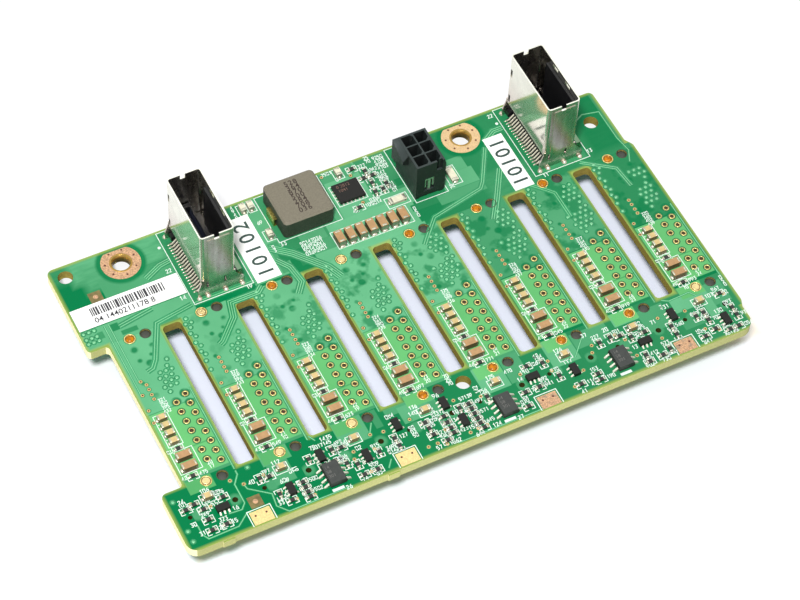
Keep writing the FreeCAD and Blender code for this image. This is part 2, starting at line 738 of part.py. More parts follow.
def soic_leads():
    leads = []
    width = 0.42
    for x in SOIC_X:
        for side in (-1, 1):
            root = x + side * SOIC_W / 2
            toe = root + side * SOIC_REACH
            profile = ((root, 0.75), (root + side * 0.35, 0.0), (toe, 0.0), (toe, 0.2), (root, 0.95))
            for index in range(4):
                y = SOIC_Y + (index - 1.5) * SOIC_PITCH
                leads.append(prism_y(profile, y - width / 2, y + width / 2))
    return leads


def wedge(x, y, run, width, height, side, turned):
    """A foot that falls from full height at its root to nothing at its toe, away from a body."""
    toe = side * run
    half = width / 2
    if turned:
        return prism_x(((y, 0), (y + toe, 0), (y, height)), x - half, x + half)
    return prism_y(((x, 0), (x + toe, 0), (x, height)), y - half, y + half)


def turned_box(x, y, across, along, z0, z1, turned):
    """A box centred on x, y whose first size runs along X, or along Y when it is turned."""
    a = along / 2 if turned else across / 2
    b = across / 2 if turned else along / 2
    return box(x - a, x + a, y - b, y + b, z0, z1)


def small_chips():
    across, along, height = SMALL_CHIP
    chips = []
    for x, y, turned in SMALL_CHIPS:
        chips.append(turned_box(x, y, across, along, SMALL_CHIP_LIFT, height, turned))
    return chips


def small_chip_leads():
    """Three leads on one side and two on the other, each a short sloping foot."""
    reach, width, height = SMALL_LEAD
    leads = []
    for x, y, turned in SMALL_CHIPS:
        for side, steps in ((-1, (-1, 0, 1)), (1, (-1, 1))):
            root = side * SMALL_CHIP[0] / 2
            for step in steps:
                shift = step * SMALL_LEAD_STEP
                lead_x = x + (shift if turned else root)
                lead_y = y + (root if turned else shift)
                leads.append(wedge(lead_x, lead_y, reach, width, height, side, turned))
    return leads


# ---- chip capacitors, resistors and fuses -----------------------------------------------------
BAY_SMALL_CAPS = (-4.4, -2.6, 2.06, 4)     # x, first y, step down, how many
BAY_LARGE_CAPS = (-4.15, -13.0, 2.75, 2)
BAY_FRONT_CAP = (-3.75, -23.75)
BAY_RESISTORS = ((-4.3, -10.55), (-4.3, -17.85))
INPUT_CAPS = (48.6, 23.2, 2.53, 7)         # first x, y, step, how many
PALE_CAPS = ((33.2, 39.7), (35.0, 39.7), (35.6, 31.0))
SPARE_CAP = (56.2, 39.9)
FUSES = ((64.8, 27.9, False), (78.7, 29.1, True))
RESISTORS = (                              # x, y, quarter-turned
    (-8.9, -24.7, False), (-6.9, -24.2, False), (-0.9, -25.0, False), (-5.6, -26.0, False),
    (-5.7, -28.6, False), (-6.0, -31.2, False), (-2.8, -31.1, False), (7.6, -24.2, True),
    (9.5, -24.6, False), (9.7, -29.3, True), (11.4, -31.6, False), (15.1, -28.7, False),
    (15.1, -29.95, False), (15.1, -31.2, False), (15.1, -32.45, False), (23.7, -24.2, True),
    (25.7, -24.5, False), (18.5, -24.3, True), (20.8, -26.9, False), (22.8, -26.9, False),
    (25.1, -28.5, True), (27.0, -29.6, True), (32.3, -28.8, True), (27.2, -32.4, False),
    (30.2, -32.4, False), (36.6, -27.2, True), (36.7, -29.2, True), (43.9, -26.4, False),
    (44.1, -28.1, True), (44.2, -29.8, False), (48.1, -26.7, False), (48.1, -28.3, False),
    (48.2, -29.8, False), (48.2, -31.1, False), (46.3, -32.2, False), (54.1, -26.1, False),
    (54.2, -27.4, False), (54.2, -28.7, False), (54.2, -30.0, False), (54.2, -31.3, False),
    (54.5, -32.6, False), (52.0, -26.3, True), (58.5, -26.2, True), (66.2, -28.6, False),
    (65.2, -31.9, False), (69.4, -22.9, False), (72.9, -23.6, True), (69.5, -28.6, False),
    (74.6, -27.9, True), (77.7, -31.7, False), (82.1, -30.9, False), (82.1, -32.4, False),
    (86.2, -24.2, True), (88.9, -23.9, True), (90.9, -24.4, False), (93.0, -25.7, True),
    (96.2, -25.7, False), (93.6, -31.1, True), (93.6, -32.8, False), (96.9, -32.5, False),
    (99.0, -31.8, True), (102.1, -26.9, True), (102.1, -29.2, True), (108.2, -26.9, True),
    (110.1, -26.7, True), (110.1, -28.8, True), (107.4, -32.2, False), (110.3, -31.4, False),
    (113.1, -32.8, False), (115.2, -32.8, False), (116.3, -28.1, True), (116.3, -30.1, True),
    (115.7, -23.7, False), (56.4, 29.5, False), (61.9, 38.0, True), (60.8, 36.4, False),
    (61.9, 34.4, True), (61.5, 31.9, True), (64.7, 33.0, True), (59.5, 39.8, False),
    (62.9, 36.4, False), (63.4, 31.9, True),
)


def chip_parts(size, places):
    """Like chip parts, each one fired block with its metal ends, standing on the board."""
    length, width, height = size
    return [turned_box(x, y, length, width, 0, height, turned) for x, y, turned in places]


def in_every_bay(x, first_y, step, count):
    places = []
    for bay in range(BAYS):
        for index in range(count):
            places.append((x + bay_x(bay), first_y - index * step, False))
    return places


def resistor_places():
    places = list(RESISTORS)
    for bay in range(BAYS):
        for x, y in BAY_RESISTORS:
            places.append((x + bay_x(bay), y, False))
    return places


def barcode_label():
    """Paper sticker at the left of the back strip."""
    return box(-11.1, 13.4, 24.6, 30.3, 0, 0.1)


# ---- build ------------------------------------------------------------------------------------
def main():
    os.makedirs("parts", exist_ok=True)
    place("circuit_board", [circuit_board()])

    connector = drive_connector()
    contacts = drive_contacts()
    for bay in range(BAYS):
        number = str(bay + 1)
        place("drive_connector_" + number, [moved(connector, bay_x(bay))])
        place("drive_contacts_" + number, [moved(contact, bay_x(bay)) for contact in contacts])
    place("board_locks_soldered", board_locks(True))
    place("board_locks_bare", board_locks(False))

    shell = socket_shell()
    moulding = socket_moulding()
    pins = socket_contacts()
    for index, shift in enumerate(SOCKETS_X):
        number = str(index + 1)
        place("cable_socket_shell_" + number, [moved(shell, shift)])
        place("cable_socket_moulding_" + number, [moved(moulding, shift)])
        place("cable_socket_contacts_" + number, [moved(pin, shift) for pin in pins])

    place("power_header_moulding", [power_header()])
    place("power_header_pins", header_pins())
    place("power_header_clips", header_clips())

    place("inductor_body", [inductor_body()])
    place("inductor_terminals", inductor_terminals())

    place("regulator_chip", [regulator_chip()])
    place("regulator_pads", regulator_pads())
    for index, x in enumerate(SOIC_X):
        place("buffer_chip_" + str(index + 1), [soic_body(x)])
    place("buffer_chip_leads", soic_leads())
    place("small_chips", small_chips())
    place("small_chip_leads", small_chip_leads())

    groups = {
        "bay_small_capacitors": (CAP_0805, in_every_bay(*BAY_SMALL_CAPS)),
        "bay_large_capacitors": (CAP_1206, in_every_bay(*BAY_LARGE_CAPS)),
        "bay_front_capacitors": (CAP_0805, in_every_bay(*BAY_FRONT_CAP, 0, 1)),
        "input_capacitors": (CAP_INPUT, [(INPUT_CAPS[0] + index * INPUT_CAPS[2], INPUT_CAPS[1], True)
                                         for index in range(INPUT_CAPS[3])]),
        "pale_capacitors": (CAP_0805, [(x, y, True) for x, y in PALE_CAPS + (SPARE_CAP,)]),
        "fuses": (FUSE, FUSES),
        "chip_resistors": (RES_0603, resistor_places()),
    }
    for name, (size, places) in groups.items():
        place(name, chip_parts(size, places))
    place("barcode_label", [barcode_label()])


main()
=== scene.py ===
import math

import bpy
import numpy as np
from bpy.props import FloatProperty, FloatVectorProperty, IntProperty, PointerProperty
from mathutils import Euler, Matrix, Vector


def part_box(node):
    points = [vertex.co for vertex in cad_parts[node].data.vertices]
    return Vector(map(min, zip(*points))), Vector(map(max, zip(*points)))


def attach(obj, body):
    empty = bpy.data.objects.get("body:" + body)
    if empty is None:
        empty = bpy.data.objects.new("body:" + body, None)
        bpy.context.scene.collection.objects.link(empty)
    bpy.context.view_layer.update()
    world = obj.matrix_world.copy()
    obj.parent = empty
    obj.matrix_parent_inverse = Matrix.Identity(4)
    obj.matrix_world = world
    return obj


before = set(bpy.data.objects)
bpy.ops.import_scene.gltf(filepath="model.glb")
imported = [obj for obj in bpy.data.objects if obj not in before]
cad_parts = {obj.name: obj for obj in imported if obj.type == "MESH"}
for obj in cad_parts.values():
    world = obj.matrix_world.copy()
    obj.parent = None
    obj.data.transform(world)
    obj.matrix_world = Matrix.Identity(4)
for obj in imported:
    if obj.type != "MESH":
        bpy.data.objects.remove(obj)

bl_info = {
    "name": "Drive Backplane Board",
    "version": (1, 0, 0),
    "blender": (4, 5, 0),
    "location": "3D View > Sidebar > Backplane",
    "description": "Dresses a backplane board's solids with copper, legend, solder and finishes",
    "category": "Object",
}

# ---- the board's layout -----------------------------------------------------------------------
# Sizes below are millimetres in the board's layout frame: its origin is the first power pin of bay
# 1 on the upper face, X runs along the bays, Y towards the cable sockets and Z up.
MM = 0.001
LEFT_EDGE, RIGHT_EDGE = -12.1, 119.3
FRONT_EDGE, BACK_EDGE = -34.2, 42.2
THICKNESS = 2.36
BOARD_LOW, BOARD_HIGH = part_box("circuit_board")
ORIGIN = np.array((BOARD_LOW.x - LEFT_EDGE * MM, BOARD_HIGH.y - BACK_EDGE * MM, BOARD_HIGH.z))
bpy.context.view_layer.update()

BAYS = 8
BAY_PITCH = 16.35
BAY_LEFT = -6.9                            # a bay's left edge, from its first pin
SLOT_X, SLOT_HALF = 6.95, 2.04             # the first air slot's centre line and half width
SLOT_FRONT, SLOT_BACK = -19.25, 18.59
PIN_PITCH = 1.27
LOCKS = ((-2.33, 18.7), (-2.33, -19.95))   # rear and front, from a bay's first pin
PEGS = ((1.2, 18.65), (1.2, -20.05))
SOLDERED_BAYS = ((0, 2, 4, 5, 6, 7), (3, 4, 5, 6))   # whose rear and front locks are soldered
SOCKET_SHIFTS = (0.0, 81.75)               # from the left cable socket to itself and to the right
EDGE_PADS_X = (4.4, 37.1, 69.8, 102.5)     # two gold, two bare
SCREW_HOLES = ((3.85, 37.75), (85.4, 37.75))
SOCKET_LEGS = [(x, y) for x in (15.15, 17.17, 21.25, 25.1) for y in (21.95, 40.1)]
SOCKET_TAILS = [(15.0, 24.07 + 0.8 * row) for row in range(18)]
RESISTORS = 98


def bay_x(bay):
    return bay * BAY_PITCH


def shade(red, green, blue):
    """A display colour of three numbers up to 255, turned into the linear values shaders use."""
    parts = [value / 255 for value in (red, green, blue)]
    return tuple(v / 12.92 if v <= 0.04045 else ((v + 0.055) / 1.055) ** 2.4 for v in parts)


# ---- what a user may change -------------------------------------------------------------------
def colour(name, description, *display):
    return FloatVectorProperty(name=name, description=description, subtype="COLOR", size=3,
                               min=0, max=1, default=shade(*display))


def length(name, description, millimetres):
    return FloatProperty(name=name, description=description, default=millimetres * MM,
                         unit="LENGTH", subtype="DISTANCE", precision=5)


class BackplaneColours(bpy.types.PropertyGroup):
    mask: colour("Mask on laminate", "Solder mask where there is no copper under it", 0, 116, 66)
    mask_copper: colour("Mask on copper", "Solder mask over a copper pour", 106, 182, 134)
    mask_warm: colour("Mask in a bay", "Solder mask over the copper round the drive pins",
                      106, 188, 108)
    mask_rim: colour("Mask at an edge", "Thin mask where it ends at a slot or edge", 164, 178, 84)
    mask_trace: colour("Mask on traces", "Solder mask over a trace", 118, 194, 142)
    mask_gap: colour("Mask in a gap", "Solder mask in the gap beside a trace or a via", 22, 132, 80)
    laminate: colour("Laminate edge", "Routed edge of the board", 204, 206, 138)
    # Laminate left edge: a brighter copy of the laminate for left-facing edges, a painted highlight
    # on the lit side.
    laminate_left: colour("Laminate left edge", "Routed edge that faces left", 255, 248, 196)
    # Slot wall: a darker brown for the walls of slots and holes, painted shade; it also marks the
    # ply seams.
    slot_wall: colour("Slot wall", "Inner wall of an air slot", 168, 152, 76)
    legend: colour("Legend", "Printed white ink", 226, 240, 230)
    gold: colour("Gold", "Gold plated pads and pin rings", 232, 204, 138)
    copper: colour("Bare copper", "Rings round the screw holes", 216, 172, 132)
    solder: colour("Solder", "Solder joints", 214, 208, 190)
    flux: colour("Amber flux", "Domed resin on a soldered lock", 182, 110, 0)
    resin: colour("Black moulding", "Connector and chip mouldings", 30, 31, 31)
    header: colour("Header moulding", "Power header", 34, 46, 44)
    shell: colour("Bright shell", "Plated steel of the cable sockets", 240, 240, 226)
    # Shell front: a darker copy of the plated steel for the long faces, painted shade.
    shell_front: colour("Shell front", "Drawn steel of the shell's long faces", 158, 146, 138)
    # Shell foot: the side faces darken towards the board, painted shade.
    shell_low: colour("Shell foot", "Duller steel near the board", 196, 176, 170)
    inductor: colour("Inductor", "Pressed powder block", 124, 118, 101)
    tan: colour("Small capacitors", "Pale fired ceramic", 204, 180, 124)
    brown: colour("Large capacitors", "Brown fired ceramic", 176, 138, 94)
    paper: colour("Label paper", "Face of the labels", 250, 251, 248)


class BackplaneSizes(bpy.types.PropertyGroup):
    trace_width: length("Trace width", "Width of a signal trace", 0.17)
    legend_width: length("Legend line", "Width of a printed line", 0.16)
    ring_radius: length("Pin ring", "Outer radius of a pin's gold ring", 0.72)
    via_radius: length("Via bump", "Radius of a covered via", 0.38)
    round_steps: IntProperty(name="Round steps", description="Flat steps round a small part",
                             default=16, min=8, max=48)


class BackplaneStage(bpy.types.PropertyGroup):
    lens: FloatProperty(name="Lens", description="Focal length on a 36 mm sensor",
                        default=125.485, unit="CAMERA")
    key: FloatProperty(name="Key lamp", description="Power of the lamp at the front left",
                       default=8.6, unit="POWER")
    fill: FloatProperty(name="Fill lamp", description="Power of the broad lamp overhead",
                        default=1.0, unit="POWER")
    sky: FloatProperty(name="Sky", description="Strength of the even light from all round",
                       default=0.3)


# ---- shader maths -----------------------------------------------------------------------------
WHITE = (1.0, 1.0, 1.0)
BLACK = (0.0, 0.0, 0.0)


def maths(operation, swapped=False):
    """A method of Wire that adds one Math node. swapped is for a number to the left of a Wire."""
    def method(self, *others):
        values = (*others, self) if swapped else (self, *others)
        return self.nodes.node("ShaderNodeMath", {"operation": operation}, dict(enumerate(values)))
    return method


class Wire:
    """A value in a node tree. Arithmetic on it adds the Math nodes that work it out."""

    def __init__(self, nodes, socket):
        self.nodes = nodes
        self.socket = socket

    __add__ = __radd__ = maths("ADD")
    __mul__ = __rmul__ = maths("MULTIPLY")
    __sub__ = maths("SUBTRACT")
    __rsub__ = maths("SUBTRACT", swapped=True)
    __truediv__ = maths("DIVIDE")
    __mod__ = maths("FLOORED_MODULO")
    __gt__ = maths("GREATER_THAN")
    __lt__ = maths("LESS_THAN")
    __abs__ = maths("ABSOLUTE")
    root = maths("SQRT")
    most = maths("MAXIMUM")
    least = maths("MINIMUM")

    def ramp(self, low, high, start=0.0, end=1.0):
        """Runs from start to end while the value runs from low to high, and stops there."""
        return self.nodes.node("ShaderNodeMapRange", {"clamp": True},
                               {"Value": self, "From Min": low, "From Max": high,
                                "To Min": start, "To Max": end})


class Nodes:
    """A node tree under construction, with one method for any node."""

    def __init__(self, tree):
        self.tree = tree
        tree.nodes.clear()

    def set(self, node, inputs):
        for key, value in inputs.items():
            socket = node.inputs[key]
            if isinstance(value, Wire):
                self.tree.links.new(value.socket, socket)
            elif socket.type == "RGBA" and len(value) == 3:
                socket.default_value = (*value, 1.0)
            else:
                socket.default_value = value

    def node(self, kind, settings, inputs, output=0):
        made = self.tree.nodes.new(kind)
        for key, value in settings.items():
            setattr(made, key, value)
        self.set(made, inputs)
        return Wire(self, made.outputs[output]) if len(made.outputs) else None

    def seen_by(self, *rays):
        """Above 0 for rays of any of these kinds."""
        first, *others = [self.node("ShaderNodeLightPath", {}, {}, "Is %s Ray" % ray)
                          for ray in rays]
        for other in others:
            first = first.most(other)
        return first


class Finish(Nodes):
    """A material under construction, with its main shader."""

    def __init__(self, name, base, roughness, metallic=0.0):
        self.material = bpy.data.materials.new(name)
        self.material.use_nodes = True
        super().__init__(self.material.node_tree)
        self.output = self.tree.nodes.new("ShaderNodeOutputMaterial")
        self.skin = self.tree.nodes.new("ShaderNodeBsdfPrincipled")
        self.set(self.output, {"Surface": Wire(self, self.skin.outputs[0])})
        self.coat({"Base Color": base, "Roughness": roughness, "Metallic": metallic})

    def coat(self, inputs):
        """Sets inputs of the main shader."""
        self.set(self.skin, inputs)

    def blend(self, share, first, second):
        """Colour first where share is 0 and colour second where it is 1."""
        return self.node("ShaderNodeMix", {"data_type": "RGBA"}, {0: share, 6: first, 7: second}, 2)

    def parts(self, vector):
        split = self.tree.nodes.new("ShaderNodeSeparateXYZ")
        self.set(split, {0: vector})
        return [Wire(self, socket) for socket in split.outputs]

    def place(self):
        """The point on the piece, in metres, as one vector."""
        return self.node("ShaderNodeTexCoord", {}, {}, "Object")

    def along(self):
        """The same point as three values in millimetres from the layout origin."""
        return [(value - float(start)) * (1 / MM)
                for value, start in zip(self.parts(self.place()), ORIGIN)]

    def facing(self):
        """The surface normal as three values."""
        return self.parts(self.node("ShaderNodeNewGeometry", {}, {}, "Normal"))

    def noise(self, grain, detail=3.0, squash=None):
        """Noise whose grains are about so many millimetres across, optionally drawn out."""
        where = self.place()
        if squash:
            where = self.node("ShaderNodeMapping", {}, {"Vector": where, "Scale": squash})
        return self.node("ShaderNodeTexNoise", {},
                         {"Vector": where, "Scale": 1 / (grain * MM), "Detail": detail})

    def within(self, x, y, box, soft=0.07):
        """1 inside the upright rectangle x0, x1, y0, y1 and 0 outside it, with a soft edge."""
        x0, x1, y0, y1 = box
        beyond = (abs(x - (x0 + x1) / 2) - (x1 - x0) / 2).most(
            abs(y - (y0 + y1) / 2) - (y1 - y0) / 2)
        return beyond.ramp(-soft, soft, 1.0, 0.0)

    def round_patch(self, x, y, where, inner, outer):
        """1 inside the inner radius about a point and 0 beyond the outer one."""
        far = ((x - where[0]) * (x - where[0]) + (y - where[1]) * (y - where[1])).root()
        return far.ramp(inner, outer, 1.0, 0.0)

    def bump(self, height, depth):
        """Raises the surface by depth millimetres where height is 1."""
        self.coat({"Normal": self.node("ShaderNodeBump", {}, {"Height": height, "Strength": 1.0,
                                                              "Distance": depth * MM})})


def toned(base, share):
    """A colour so many times as bright."""
    return tuple(c * share for c in base)


def mottled(name, base, roughness, metallic=0.0, grain=1.5, spread=0.12, depth=0.0, side=1.0):
    """A finish whose colour and gloss drift a little over the surface. depth is how deep its fine
    grain is, and side is how bright the upright faces are next to the top: below 1 it darkens
    them as painted shade."""
    finish = Finish(name, base, roughness, metallic)
    drift = finish.noise(grain).ramp(0.3, 0.7)
    light = tuple(min(1.0, c + 0.002) for c in toned(base, 1 + spread))
    skin = finish.blend(drift, toned(base, 1 - spread), light)
    # Upright faces darkened against the top: painted shade.
    if side < 1:
        skin = finish.blend(finish.facing()[2].ramp(0.35, 0.75, 1.0, 0.0), skin, toned(base, side))
    finish.coat({"Base Color": skin, "Roughness": drift.ramp(0, 1, max(0.03, roughness - 0.06),
                                                             min(1.0, roughness + 0.06))})
    if depth:
        finish.bump(finish.noise(grain / 6, 2.0), depth)
    return finish


# ---- shapes -----------------------------------------------------------------------------------
def grid_faces(rows, columns, wrapped):
    """Quads of a grid of points. They face outwards where the row direction crossed with the
    column direction does. wrapped joins the last column to the first."""
    i = np.arange(rows - 1)[:, None]
    j = np.arange(columns if wrapped else columns - 1)[None, :]
    k = (j + 1) % columns
    corners = [i * columns + j, (i + 1) * columns + j, (i + 1) * columns + k, i * columns + k]
    return np.stack(corners, -1).reshape(-1, 4)


def welded(points, faces):
    """Points in one place become one point, and a quad that loses a corner becomes a triangle."""
    _, index, back = np.unique(np.round(points, 5), axis=0, return_index=True,
                               return_inverse=True)
    slim = [list(dict.fromkeys(face)) for face in back.reshape(-1)[faces].tolist()]
    return points[index], [corners for corners in slim if len(corners) > 2]


def turned(profile, steps, stretch=(1.0, 1.0)):
    """A profile of (radius, height) pairs, from the top's middle outwards and down, turned about
    the Z axis: x = radius cos a, y = radius sin a, with x and y stretched."""
    radius, height = np.array(profile, float).T
    angle = np.arange(steps) * 2 * np.pi / steps
    points = np.stack([
        stretch[0] * radius[:, None] * np.cos(angle),
        stretch[1] * radius[:, None] * np.sin(angle),
        np.broadcast_to(height[:, None], (len(radius), steps)),
    ], -1).reshape(-1, 3)
    return welded(points, grid_faces(len(radius), steps, True))


def pillow(half, power=0.3, rows=7, columns=12):
    """A box with rounded edges: each axis takes its half size times sine or cosine raised to a
    small power, as on a superellipsoid."""
    def swell(value):
        return np.sign(value) * np.abs(value) ** power
    rise = np.linspace(np.pi / 2, -np.pi / 2, rows)[:, None]
    turn = (np.arange(columns) * 2 * np.pi / columns)[None, :]
    points = np.stack([
        half[0] * swell(np.cos(rise).round(9)) * swell(np.cos(turn)),
        half[1] * swell(np.cos(rise).round(9)) * swell(np.sin(turn)),
        half[2] * swell(np.sin(rise)) * np.ones_like(turn),
    ], -1).reshape(-1, 3)
    return welded(points, grid_faces(rows, columns, True))


def copies(shape, places, z=0.0):
    """The shape at every place, as one shape."""
    points, faces = shape
    places = np.column_stack([places, np.full(len(places), z)])
    every = (places[:, None, :] + points[None, :, :]).reshape(-1, 3)
    return every, [[corner + index * len(points) for corner in face]
                   for index in range(len(places)) for face in faces]


def disc(radius, height, steps):
    """A thin round plate."""
    return turned(((0, height), (radius, height), (radius, 0.0), (0, 0)), steps)


def sideways(path, closed=False):
    """What moves each corner of a path one to the left: its bisector, longer where it is
    sharper."""
    ahead = np.roll(path, -1, 0) - path
    behind = path - np.roll(path, 1, 0)
    if not closed:
        ahead[-1] = behind[-1]
        behind[0] = ahead[0]
    ahead /= np.linalg.norm(ahead, axis=1, keepdims=True)
    behind /= np.linalg.norm(behind, axis=1, keepdims=True)
    middle = ahead + behind
    middle /= np.linalg.norm(middle, axis=1, keepdims=True)
    reach = np.maximum((middle * ahead).sum(1, keepdims=True), 0.35)
    return np.stack([-middle[:, 1], middle[:, 0]], -1) / reach


def strip(path, width, low, high, closed=False):
    """A flat bar carried along a path in the XY plane, mitred at each corner: points are the path
    plus or minus half the width sideways, at the bar's two heights."""
    path = np.asarray(path, float)
    side = sideways(path, closed) * (width / 2)
    count = len(path)
    ring = [(path - side, high), (path + side, high), (path + side, low), (path - side, low)]
    points = np.stack([np.column_stack([xy, np.full(count, z)]) for xy, z in ring], 1)
    if closed:
        points = np.concatenate([points, points[:1]])
        return welded(points.reshape(-1, 3), grid_faces(count + 1, 4, True))
    last = (count - 1) * 4
    return points.reshape(-1, 3), [*grid_faces(count, 4, True).tolist(), [0, 1, 2, 3],
                                   [last + 3, last + 2, last + 1, last]]


def plate(corners, low, high):
    """A flat plate: its outline at two heights, joined by side walls."""
    xy = np.asarray(corners, float)
    area = (xy[:, 0] * np.roll(xy[:, 1], -1) - np.roll(xy[:, 0], -1) * xy[:, 1]).sum()
    if area < 0:
        xy = xy[::-1]
    count = len(xy)
    points = np.concatenate([np.column_stack([xy, np.full(count, z)]) for z in (low, high)])
    sides = [[i, (i + 1) % count, count + (i + 1) % count, count + i] for i in range(count)]
    return points, [list(range(count))[::-1], list(range(count, 2 * count)), *sides]


def frame_path(x0, x1, y0, y1):
    return [(x0, y0), (x1, y0), (x1, y1), (x0, y1)]


def circle_path(x, y, radius, steps=32):
    angle = np.arange(steps) * 2 * np.pi / steps
    return np.column_stack([x + radius * np.cos(angle), y + radius * np.sin(angle)])


def put(name, mesh, finish):
    """Makes a piece of a mesh and gives it a body and a finish."""
    mesh.materials.clear()
    mesh.materials.append(finish.material)
    mesh.update()
    piece = bpy.data.objects.new(name, mesh)
    bpy.context.scene.collection.objects.link(piece)
    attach(piece, "root")


def make_piece(name, shapes, finish, smooth=False):
    """Joins shapes into one mesh and moves it from the layout frame into place."""
    points = []
    faces = []
    first = 0
    for shape_points, shape_faces in shapes:
        points.append(shape_points)
        faces += [[corner + first for corner in face] for face in shape_faces]
        first += len(shape_points)
    mesh = bpy.data.meshes.new(name)
    mesh.from_pydata((ORIGIN + MM * np.concatenate(points)).tolist(), [], faces)
    mesh.polygons.foreach_set("use_smooth", np.full(len(mesh.polygons), smooth))
    put(name, mesh, finish)


def repeat(name, shape, places, finish, smooth=False, z=0.0):
    """Makes a piece of one shape at many places."""
    make_piece(name, [copies(shape, places, z)], finish, smooth)


def dress(node, finish):
    """Gives a solid its finish."""
    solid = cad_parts[node]
    solid.data.materials.clear()
    solid.data.materials.append(finish.material)


def solid_boxes(node, count):
    """The box of each of a node's like solids, in millimetres: centre and half size."""
    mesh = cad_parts[node].data
    corners = np.empty(len(mesh.vertices) * 3, np.float32)
    mesh.vertices.foreach_get("co", corners)
    corners = (corners.reshape(count, -1, 3) - ORIGIN) / MM
    low = corners.min(1)
    high = corners.max(1)
    return (low + high) / 2, (high - low) / 2


# Strokes of a plotter's digits in a box one wide and two high.
STROKES = {
    "0": ((0, 0), (1, 0), (1, 2), (0, 2), (0, 0)),
    "1": ((0.2, 1.6), (0.6, 2), (0.6, 0)),
    "2": ((0, 1.6), (0.3, 2), (0.8, 2), (1, 1.5), (0, 0), (1, 0)),
    "3": ((0, 2), (1, 2), (0.5, 1.2), (1, 0.7), (0.6, 0), (0, 0.2)),
    "4": ((0.8, 0), (0.8, 2), (0, 0.6), (1, 0.6)),
    "5": ((1, 2), (0, 2), (0, 1.1), (0.8, 1.1), (1, 0.5), (0.6, 0), (0, 0.1)),
    "6": ((0.9, 2), (0.1, 1), (0.1, 0), (1, 0), (1, 1), (0.1, 1)),
    "7": ((0, 2), (1, 2), (0.4, 0)),
    "8": ((0, 0), (1, 0), (1, 1), (0, 1), (0, 2), (1, 2), (1, 1), (0.05, 1), (0.05, 0.1)),
    "9": ((0.1, 0), (1, 1), (1, 2), (0, 2), (0, 1), (0.95, 1)),
}


def turned_by(angle):
    """The matrix that turns rows of x and y anticlockwise."""
    return np.array(((math.cos(angle), math.sin(angle)), (-math.sin(angle), math.cos(angle))))


def digits(text, x, y, height, width, quarter, low, high):
    """Plotted digits starting at x, y; quarter turns them anticlockwise by so many right
    angles."""
    shapes = []
    for index, letter in enumerate(text):
        stroke = np.array(STROKES[letter], float) * (height / 2) + (index * height * 0.78, 0)
        path = stroke @ turned_by(quarter * math.pi / 2) + (x, y)
        shapes.append(strip(path, width, low, high))
    return shapes


# ---- board ------------------------------------------------------------------------------------
# Copper under the mask, as upright rectangles in layout millimetres, each painted over the last:
# left, right, front, back, tone. Tone 0 is mask on bare laminate and 1 is mask on bright copper.
BOARD_PATCHES = (
    (-2.6, 13.5, 30.4, 35.4, 0.46), (4.0, 13.5, 32.9, 35.0, 0.3), (-12.5, 13.5, 19.3, 24.4, 0.72),
    (-4.9, -3.0, 21.9, 23.8, 0.12), (-3.2, 0.4, 20.2, 21.4, 0.2), (-8.0, -6.7, 21.2, 23.0, 0.3),
    (13.6, 27.4, 20.9, 41.8, 0.2), (5.2, 9.0, 19.2, 20.2, 0.4), (15.0, 26.4, 20.9, 24.2, 0.34),
    (27.3, 36.7, 20.0, 42.0, 0.7), (29.8, 33.8, 38.2, 41.9, 0.22), (34.0, 36.4, 20.5, 29.0, 0.4),
    (35.0, 38.6, 23.2, 27.4, 0.1), (36.6, 52.2, 28.2, 41.7, 0.3), (50.4, 52.2, 28.3, 31.4, 0.6),
    (36.7, 41.0, 25.2, 28.2, 0.22), (41.0, 47.0, 25.4, 28.2, 0.58),
    (47.0, 47.9, 25.4, 28.2, 0.34), (38.6, 41.0, 20.6, 25.2, 0.12),
    (41.0, 47.6, 22.2, 25.4, 0.46), (42.2, 47.6, 18.0, 22.2, 0.8), (52.2, 68.2, 26.1, 41.8, 0.84),
    (52.2, 60.2, 38.6, 41.8, 0.5), (60.6, 68.2, 30.6, 41.8, 0.3), (60.0, 64.6, 26.8, 30.4, 0.8),
    (66.6, 68.4, 31.4, 33.4, 0.12), (47.6, 67.6, 15.7, 28.2, 0.92),
    (67.0, 73.2, 20.4, 23.6, 0.08), (66.6, 75.4, 23.6, 25.4, 0.16), (73.0, 84.2, 22.6, 25.3, 0.5),
    (75.6, 83.8, 25.4, 29.8, 0.7), (78.0, 83.0, 29.8, 33.4, 0.66),
    (95.2, 109.0, 20.9, 41.8, 0.14), (97.0, 108.4, 20.9, 24.2, 0.3),
    (117.0, 119.4, 17.0, 38.2, 0.3), (9.5, 15.8, -22.0, -18.6, 0.6),
    (10.0, 14.6, -27.2, -22.0, 0.46), (26.0, 32.6, -24.8, -18.6, 0.62),
    (34.4, 36.0, -23.4, -18.8, 0.3), (37.4, 44.0, -21.8, -19.9, 0.46),
    (40.2, 48.4, -24.9, -20.6, 0.66), (46.6, 48.2, -30.0, -22.0, 0.42),
    (58.4, 64.6, -25.6, -18.7, 0.8), (64.8, 69.2, -25.4, -17.6, 0.5),
    (74.6, 81.0, -25.8, -18.7, 0.74), (81.2, 89.6, -23.6, -19.6, 0.5),
    (84.0, 91.4, -30.6, -26.0, 0.16), (91.2, 97.0, -22.0, -18.0, 0.86),
    (97.0, 103.2, -26.4, -20.4, 0.46), (104.9, 112.9, -24.4, -20.9, 0.86),
    (111.2, 113.6, -28.4, -20.9, 0.78), (113.6, 117.6, -26.0, -20.2, 0.5),
    (104.6, 110.4, -29.0, -26.0, 0.4),
)
